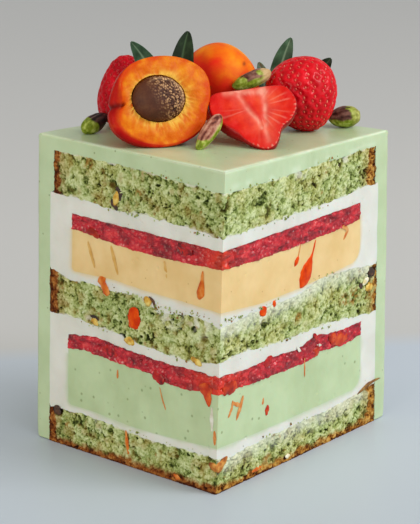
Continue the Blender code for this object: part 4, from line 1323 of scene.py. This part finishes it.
def apricot_stone():
    """A flattened oval with a keel; cells pit its right half, and a ridge runs near its rim."""
    polar, around = pole_to_pole(150), circle(220)
    keel = 1 - 0.02 * (1 - np.sin(polar) ** 12)
    rings = flat_ring(np.sin(polar) * keel, around, np.cos(polar)) * STONE_SIZE
    x, y, z = np.moveaxis(rings, -1, 0)
    pits, own = cells(rings, 0.85, 91)
    right = smooth_step((x + 4.8 + 0.25 * y) / 8)
    rough = 0.18 * (1 - (pits / 0.5) ** 2) * (0.04 + 0.96 * right)
    arc = np.hypot(x / STONE_SIZE[0], y / STONE_SIZE[1])
    line = smooth_step(np.cos(around - radians(40)) * 1.3) * (z > 0)
    ridge, furrow = 0.5 * bell(arc - 0.82, 0.035) * line, 0.35 * bell(arc - 0.90, 0.03) * line
    height = rough + ridge - furrow + 0.12 * soft_noise(rings, 2.5, 92)
    # Painted shade darkens the pits and the furrow; painted highlights lighten the crests and the
    # ridge.
    groove = np.clip(smooth_step((pits - 0.38) / 0.28) * right * 0.6 + furrow * 1.8, 0, 1)
    crest_highlight = smooth_step((0.45 - pits) / 0.22) * right * (0.45 + 0.55 * own)
    crest_highlight = np.clip(0.9 * crest_highlight + 0.8 * ridge, 0, 0.95)
    fruit("apricot_stone_shell", swell(rings, height) + STONE_PLACE, APRICOT_AT, APRICOT_TURN,
          STONE, "apricot_stone", {"groove": groove, "crest_highlight": crest_highlight})


apricot_stone()

# %% [markdown]
# ## Whole apricot
# The skin has fine down, which takes away nearly all gloss, so the colour does the work: orange
# where the sun was, red on the other side, with a few small brown marks. The blush is a mark that
# grows with the distance from the sunny side, and noise breaks up its border.

# %% Whole apricot
# Downy skin: dull, orange on the side that had the sun and blushing to red round it.
APRICOT_SKIN = finish("apricot_skin",
                      ((0.28, "#F09208"), (0.48, "#E87006"), (0.68, "#E04406"), (0.84, "#E0240E")),
                      (9, 5.0), {"mark": "#8A3A12"}, (0.6, 2.0), (0.15, 0.2), "blush",
                      Roughness=0.5, Specular_IOR_Level=0.1)


def apricot_whole():
    """A ball a little taller than wide, by sine and cosine, with a seam from end to end."""
    polar, around, turn = pole_to_pole(100, 0.04), circle(160), (4, -25, 0)
    groove = 1 - 0.035 * bell(off(around, 250), 0.25)
    rings = flat_ring(14.8 * np.sin(polar) ** 0.9 * groove, around, 16.7 * np.cos(polar))
    rings = swell(rings, 0.18 * soft_noise(rings, 6.0, 95))
    placed = turn_points(rings, *turn)
    blush = np.clip(0.36 - 0.52 * (placed @ np.array([0.45, 0.0, 0.75]) / 15.0), -0.15, 0.6)
    spots = np.zeros(blush.shape)
    for x, z, size in ((8.5, 9.5, 0.7), (4.0, 1.8, 0.45), (-5.6, 1.5, 0.5)):
        away = np.hypot(placed[..., 0] - x, placed[..., 2] - z)
        spots = np.maximum(spots, (placed[..., 1] < 0) * bell(away, size))
    fruit("apricot_whole_skin", rings, (6.9, 86.0, 140.6), turn, APRICOT_SKIN,
          "apricot_whole", {"blush": blush, "mark": spots})


apricot_whole()

# %% [markdown]
# ## Half strawberry
# Cut lengthwise, the berry shows two pale cords that run from the cap to the tip, with thin rays
# that feed the seeds at the rim, and a paler band under the cap. Lines given by a few measured
# points draw the cords, and a cosine of the angle round the core draws the rays. On the lower left
# the cut runs out before the rim and leaves a strip of skin in view.

# %% Half strawberry
# Cut strawberry: wet red flesh, riper towards the rim, with white veins and rays.
STRAWBERRY_FLESH = finish("strawberry_flesh",
                          ((0.32, "#CA180A"), (0.52, "#DA2E14"), (0.72, "#E44A28")), (5, 4.0),
                          {"ripe": "#CC0408", "vein": "#E69C86", "skin": "#8E0006"}, (0.9, 3.0),
                          (0.3, 0.4), Roughness=0.3, Specular_IOR_Level=0.18)
FAN_SIDES = ((99, 11.4), (30, 17.1), (-28, 13.3), (-124, 12.4), (182, 16.4))
FAN_BUMPS = ((165, 0.09, 24), (-100, 0.06, 20), (-36, -0.11, 17), (-74, -0.05, 8), (-8, 0.02, 12))
LEFT_VEIN = ((-6.5, 10.6), (-5.8, 7.3), (-3.0, 2.1), (-0.1, -2.5), (2.2, -6.8))
RIGHT_VEIN = ((2.8, 10.4), (3.4, 5.7), (3.9, 0.2), (3.5, -7.1), (4.0, -13.0))


def near_line(x, y, line, width):
    """1 on a bent line, fading over its width: the distance to each of its pieces, least wins."""
    best = np.full(x.shape, 9.0)
    for (x0, y0), (x1, y1) in zip(line[:-1], line[1:]):
        dx, dy = x1 - x0, y1 - y0
        along = np.clip(((x - x0) * dx + (y - y0) * dy) / (dx * dx + dy * dy), 0, 1)
        best = np.minimum(best, np.hypot(x - x0 - along * dx, y - y0 - along * dy))
    return bell(best, width)


def strawberry_half():
    """The fan-shaped face with its veins, and the round skin behind.

    Towards the back the outline shrinks by a cosine, while the depth grows by the sine.
    """
    around = circle(260)
    outline = soft_outline(around, FAN_SIDES)
    for facing, amount, spread in FAN_BUMPS:
        outline = outline * (1 + amount * bell(off(around, facing), radians(spread)))
    flat_share, depth = 0.965, 10.0      # the cut ends at this share of the outline
    limit = flat_share - 0.17 * bell(off(around, -140), 0.45)
    share = np.linspace(0.03, 1, 70)[:, None]
    face = flat_ring(outline * limit * share, around, -0.35 * (1 - share ** 2))
    curl = np.linspace(0, pi / 2, 10)[1:, None]
    drop = 0.9 + 12 * (flat_share - limit)
    lip = flat_ring(outline * (limit + (1.01 - limit) * np.sin(curl)), around,
                    -drop * (1 - np.cos(curl)))
    tilt = np.radians(np.linspace(4, 86, 44))[:, None]
    slim = 1.02 - 0.07 * bell(off(around, -108), 0.4)
    back = flat_ring(outline * slim * np.cos(tilt) ** 0.8, around,
                     -drop - (depth - drop) * np.sin(tilt))
    rings = np.concatenate([face, lip, back])

    place = np.arange(len(rings))[:, None] + 0 * around
    skin = smooth_step((place - len(face) - 0.5) / 3)
    x, y = rings[..., 0], rings[..., 1]
    wobble = 0.5 * soft_noise(rings, 4.0, 96)
    fade = smooth_step((y + 14) / 8)
    veins = np.maximum(near_line(x + wobble, y, LEFT_VEIN, 1.0),
                       near_line(x + wobble, y, RIGHT_VEIN, 0.95)) * (0.35 + 0.65 * fade)
    haze = np.maximum(near_line(x - 1.2, y, RIGHT_VEIN, 3.4), near_line(x + 1.2, y, LEFT_VEIN, 3.0))
    turn_in, far_out = np.arctan2(y - 3.0, x - 0.5), np.hypot(y - 3.0, x - 0.5)
    compass = flat_ring(3, turn_in, 0.1 * far_out)
    spokes = smooth_step((np.cos(25 * turn_in + 2.2 * soft_noise(compass, 1.0, 98)) - 0.35) / 0.6)
    spokes = spokes * smooth_step(0.5 + 0.8 * soft_noise(compass, 0.9, 99) + 0.25 * np.cos(turn_in))
    spokes = spokes * smooth_step((far_out - 3.5) / 4) * smooth_step((len(face) - 2 - place) / 12)
    spokes = spokes * (1 - 0.8 * smooth_step((-y - 3) / 4))
    band = near_line(x + wobble, y + wobble, ((-10.5, 9.6), (-6.0, 9.9), (3.0, 9.9)), 1.7)
    patchy = 0.75 + 0.5 * soft_noise(rings, 1.8, 89)
    vein = np.clip((0.6 * veins + 0.55 * band) * patchy + 0.26 * spokes + 0.1 * haze, 0, 0.8)
    core = near_line(x, y, ((-2.4, 4.6), (-0.4, 1.0), (1.6, -3.0)), 0.9) * (1 - 0.6 * veins)
    ripe = smooth_step((place / len(face) - 0.5) / 0.5) * 0.7 * (1 - band) + 0.8 * core
    right_rim = smooth_step(2 * np.cos(around - radians(-36)) - 0.5)
    seeds = smooth_step((np.cos(52 * around + 0.3 * np.sin(9 * around)) - 0.1) / 0.7) * right_rim
    seeds = seeds * smooth_step(0.75 + 0.6 * soft_noise(flat_ring(outline, around, 0.0), 1.6, 90))
    seeds = seeds * bell(place - len(face) - 1 - 2 * np.sin(17 * around), 3.0)
    vein = np.maximum(vein * (1 - skin), 0.8 * seeds)
    skin = skin * (1 - seeds)
    rings[..., 2] += (0.22 * soft_noise(rings, 2.4, 97) - 0.3 * veins) * (1 - skin) + 0.3 * seeds
    fruit("strawberry_half_cut", rings, (16.7, 48.4, 136.8), (44, 0, -3), STRAWBERRY_FLESH,
          "strawberry_half", {"vein": vein, "skin": skin, "ripe": ripe},
          np.array([[0, 0, -0.4], [0, 0, -depth]]))


strawberry_half()

# %% [markdown]
# ## Pistachio kernels
# A peeled kernel is green inside, with a thin dark purple skin that has dried in folds along its
# length and fades to pink where it is driest. Each kernel is told which span of it still has skin
# and which side is rubbed bare, and noise frays the border. The folds are relief.

# %% Pistachios
def nut_material():
    """Kernel: waxy green seed under skin that is dark purple, or faded to pink where it is dry."""
    material, tree, shader = start("pistachio_kernel", Roughness=0.4, Specular_IOR_Level=0.14)
    where = add(tree, "TexCoord", out="Object")
    grain = add(tree, "TexNoise", {"Vector": where, "Scale": per(1.6), "Detail": 4.0})
    streak = add(tree, "Attribute", out="Fac", attribute_name="streak")
    waxy, folded = (add(tree, "MixRGB", {"Fac": share, "Color1": grain, "Color2": streak})
                    for share in (0.2, 0.45))
    green, dark, faded = (add(tree, "ValToRGB", {"Fac": fac}, stops=stops) for fac, stops in (
        (waxy, ((0.30, "#5A6A12"), (0.48, "#7E8E26"), (0.66, "#B0BC60"))),
        (folded, ((0.36, "#0C0405"), (0.52, "#241012"), (0.70, "#5A322C"))),
        (folded, ((0.32, "#5A2A24"), (0.46, "#A0604E"), (0.62, "#CC9880")))))
    colour = lay(tree, green, blanched="#C4A074", peel=lay(tree, dark, dry=faded))
    cover(tree, shader, colour, folded, 0.4, 0.4)
    return material


NUT = nut_material()


def pistachio(name, length, half_width, centre, turn, skin_span, bare_side, dryness, pale=0.0):
    """A long oval with its split as a crease.

    The skin covers a span along the kernel, -1 to 1, leaves one side bare (its direction round
    the kernel and half width, in degrees), and is dry by one share at each end. The far end
    can be blanched.
    """
    polar, around = pole_to_pole(70, 0.05), circle(72)
    crease = 1 - 0.12 * bell(off(around, 90), 0.22)
    outline = half_width * np.sin(polar) * (1 + 0.12 * np.cos(polar)) * crease
    rings = xyz(0.5 * length * np.cos(polar), outline * np.cos(around),
                0.92 * outline * np.sin(around))
    folds = soft_noise(rings * [0.22, 1, 1], 0.8, 101)
    rings = swell(rings, 0.16 * folds + 0.1 * soft_noise(rings, 2.0, 102))
    along = rings[..., 0] / (0.5 * length)
    fray = 0.25 * soft_noise(rings, 2.2, 103) + 0.1 * folds
    peel = smooth_step((along - skin_span[0] + fray) / 0.15)
    peel = peel * smooth_step((skin_span[1] - along + fray) / 0.15)
    facing, half_angle = bare_side
    turned = np.abs(off(around, facing)) + 0.8 * fray
    peel = peel * smooth_step((turned - radians(half_angle)) / 0.3 + 0.5)
    dry = dryness[0] + (dryness[1] - dryness[0]) * smooth_step(0.5 + 0.7 * along + fray)
    fruit(name + "_kernel", rings, centre, turn, NUT, name,
          {"peel": peel, "streak": 0.5 + 0.5 * soft_noise(rings * [0.16, 1, 1] + 31, 1.0, 104),
           "dry": dry, "blanched": pale * smooth_step((along - 0.3 + fray) / 0.3)})


pistachio("pistachio_left", 13.8, 3.7, (-44.4, 69.2, 129.9), (0, 17, 221), (-1.5, 0.38), (0, -60),
          (0.0, 0.1))
pistachio("pistachio_front", 17.0, 3.2, (-2.1, 41.1, 131.3), (20, -42, 40), (-0.66, 1.5),
          (200, 42), (0.75, 0.95))
pistachio("pistachio_middle", 16.8, 3.5, (17.6, 70.9, 145.2), (0, -17, 16), (-0.42, 0.5),
          (225, 55), (0.1, 0.5), 0.9)
pistachio("pistachio_right", 13.2, 4.7, (56.0, 80.6, 127.0), (0, -3, 8), (-1.3, 0.24), (230, 45),
          (0.25, 0.1), 0.25)

# %% [markdown]
# ## Leaves
# Small waxy leaves stand behind the fruit. A leaf is a strip along a curved midrib, widest in its
# middle, folded a little along the rib and waved. Its two faces are the same grid set apart, with
# a groove for the rib and faint side veins.

# %% Leaves
# Waxy leaf: deep, dusty or pale green, lighter along the rib, satin. The three greens are partly
# the leaves' own and partly painted light and shade: each leaf takes the one that matches its light.
DEEP, DUSTY, PALE = (
    finish(name, tuple(zip((0.3, 0.55, 0.75), hexes)), (4,), {"rib": rib_hex}, bump=(0.2, 0.3),
           Roughness=0.4, Specular_IOR_Level=0.25)
    for name, rib_hex, hexes in (("deep_leaf", "#4A6440", ("#101E0C", "#1C2C16", "#2C4024")),
                                 ("dusty_leaf", "#86A486", ("#2A4630", "#406247", "#5C7F60")),
                                 ("pale_leaf", "#96AE98", ("#40624C", "#5E7E68", "#86A48C"))))


def leaf(name, material, foot, knee, tip, width, facing):
    """Midrib by a quadratic curve, half width by a sine, folded and waved; closed by its rim."""
    foot, knee, tip = np.array(foot), np.array(knee), np.array(tip)
    s, t = np.linspace(0, 1, 60)[:, None, None], np.linspace(-1, 1, 25)[None, :, None]
    midrib = foot * (1 - s) ** 2 + knee * 2 * s * (1 - s) + tip * s ** 2
    upper = np.array([cos(radians(facing)), sin(radians(facing)), 0.0])
    across = unit(np.cross((knee - foot) * (1 - s) + (tip - knee) * s, upper))
    half = 0.3 + 0.5 * width * np.sin(pi * (0.05 + 0.95 * s) ** 1.4) ** 0.65
    lift = 0.14 * half * np.sqrt(t ** 2 + 0.01) + 0.3 * np.sin(6 * s + 1.5 * t)
    veins = 0.06 * np.sin(46 * (s - 0.12 * np.abs(t))) * np.abs(t)
    middle = midrib + across * half * t + upper * (lift + veins)
    normal = unit(np.cross(np.gradient(middle, axis=0), np.gradient(middle, axis=1)))
    thick = 0.10 + 0.13 * np.sqrt(np.clip(1 - t ** 2, 0, 1))
    groove = 0.10 * bell(t, 0.09)
    front, behind = middle + normal * thick, middle - normal * (thick - groove)
    points = rest_on_coat(np.concatenate([front.reshape(-1, 3), behind.reshape(-1, 3)]))
    rows, columns = middle.shape[:2]
    number = np.arange(rows * columns).reshape(rows, columns)
    rim = np.concatenate([number[0], number[1:, -1], number[-1, -2::-1], number[-2::-1, 0]])
    band = np.stack([rim, rim + rows * columns])
    quads = np.concatenate([sheet(number), sheet(number + rows * columns, True), sheet(band, True)])
    rib = np.tile(0.8 * bell(t, 0.10).ravel(), 2 * rows)
    make_piece(name + "_blade", points, as_triangles(quads), material, [name], {"rib": rib})


leaf("leaf_1", DUSTY, (-19.5, 73.0, 125.6), (-16.0, 75.0, 145.0), (-29.3, 76.0, 160.4), 8.4, 250)
leaf("leaf_2", DEEP, (-10.5, 68.5, 125.4), (-13.0, 68.5, 146.0), (-7.4, 69.0, 165.2), 9.4, 285)
leaf("leaf_3", DUSTY, (30.5, 94.2, 123.2), (28.6, 94.2, 140.5), (36.2, 94.2, 157.0), 7.4, 262)
leaf("leaf_4", PALE, (24.5, 92.0, 123.5), (26.8, 92.2, 137.0), (23.0, 93.2, 147.6), 4.8, 275)
leaf("leaf_5", DEEP, (41.5, 92.4, 122.9), (42.0, 92.6, 138.5), (52.2, 92.4, 148.5), 7.4, 262)

# %% [markdown]
# ## Table and light
# The slice stands on a pale bluish table before a pale wall, in soft daylight that comes mostly
# from the right. A wide sun gives soft shadows of even strength, a soft box on the right draws the
# highlights on the fruit, and the sky fills the rest. The table is one large plane, whose colour
# turns from bluish to warm grey behind the cake, because a wall so near would hide the back. The
# table is painted lighter towards the back, where less light reaches it, and the room painted darker
# further away: painted light and shade.

# %% Stage
def table_material():
    """Painted table top: pale, bluish and satin; past its far edge, the light grey of the room."""
    material, tree, shader = start("pale_table", Roughness=0.35, Specular_IOR_Level=0.3)
    where = add(tree, "TexCoord", out="Object")
    back = add(tree, "SeparateXYZ", {"Vector": where}, out="Y")

    def fade(start_y, end_y, colour_1, colour_2):
        share = add(tree, "MapRange", {"Value": back, "From Min": start_y, "From Max": end_y})
        return add(tree, "MixRGB", {"Fac": share, "Color1": colour_1, "Color2": colour_2})

    # Painted light: the table grows lighter towards the back, where less light reaches it; past its
    # edge, painted shade darkens the room far off.
    table_paint_with_painted_light = fade(-0.12, 0.08, linear("#B5BFC8"), linear("#C3CCD7"))
    room = fade(0.35, 1.3, linear("#C9C8C6"), linear("#BCBCBC"))
    tree.links.new(fade(0.112, 0.132, table_paint_with_painted_light, room), shader.inputs["Base Color"])
    return material


floor_mesh = bpy.data.meshes.new("table_top")
floor_mesh.from_pydata([(-6, -6, 0), (6, -6, 0), (6, 12, 0), (-6, 12, 0)], [], [(0, 1, 2, 3)])
floor_mesh.materials.append(table_material())
floor = bpy.data.objects.new("table_top", floor_mesh)
bpy.context.scene.collection.objects.link(floor)


MIDDLE = np.array([0.0, 0.0, 0.08])      # of the slice, in metres


def lamp(name, kind, place, energy, colour, **settings):
    """A lamp at a place in metres; its -Z axis looks at the middle of the slice."""
    data = bpy.data.lights.new(name, kind)
    data.energy = energy
    data.color = linear(colour)[:3]
    for key, value in settings.items():
        setattr(data, key, value)
    back = unit(np.array(place) - MIDDLE)
    right = unit(np.cross([0, 0, 1], back))
    turned = Matrix(np.stack([right, np.cross(back, right), back], axis=1).tolist()).to_4x4()
    made = bpy.data.objects.new(name, data)
    made.matrix_world = Matrix.Translation(place) @ turned
    bpy.context.scene.collection.objects.link(made)


lamp("daylight", "SUN", (1.6, -1.3, 1.7), 1.30, "#F8FBFF", angle=radians(80))
lamp("soft_box", "AREA", (0.75, -0.35, 0.75), 4.5, "#FFFFFF", size=0.4)
lamp("fill", "AREA", (-1.3, -1.3, 0.6), 13.0, "#FFF4E2", size=1.2)
world = bpy.data.worlds.new("pale_room")
world.use_nodes = True
world.node_tree.nodes["Background"].inputs["Color"].default_value = linear("#E6E6E2")
world.node_tree.nodes["Background"].inputs["Strength"].default_value = 0.58
bpy.context.scene.world = world
bpy.context.scene.view_settings.view_transform = "Standard"
print("the pale table has", len(bpy.data.lights), "lamps over it")

# %% [markdown]
# ## Camera
# The camera stands 0.8 m away with a long lens and looks 16 degrees down. Its place, turn and lens
# were fitted to the edges of the two cut faces in the photo, so the render can be laid over it.

# %% Camera
TURN, PITCH, ROLL = radians(5.05), radians(16.49), radians(-0.53)
FOCAL_PIXELS, IMAGE_HEIGHT, SENSOR_MM = 2043.0, 524, 36     # the sensor lies along the long side
CAMERA_AT = (-0.0689, -0.7651, 0.3043)                      # metres
ahead = np.array([sin(TURN) * cos(PITCH), cos(TURN) * cos(PITCH), -sin(PITCH)])
side = np.array([cos(TURN), -sin(TURN), 0.0])
above = np.cross(side, ahead)
side, above = side * cos(ROLL) + above * sin(ROLL), above * cos(ROLL) - side * sin(ROLL)
camera_data = bpy.data.cameras.new("camera")
camera_data.lens = FOCAL_PIXELS * SENSOR_MM / IMAGE_HEIGHT
camera_data.clip_start = 0.01
camera_data.clip_end = 50
camera = bpy.data.objects.new("camera", camera_data)
turned = Matrix(np.stack([side, above, -ahead], axis=1).tolist()).to_4x4()
camera.matrix_world = Matrix.Translation(CAMERA_AT) @ turned
bpy.context.scene.collection.objects.link(camera)
bpy.context.scene.camera = camera
print("the lens is", round(camera_data.lens), "mm long, and the camera stands",
      round(float(np.linalg.norm(np.array(CAMERA_AT) - MIDDLE)), 2), "m away")
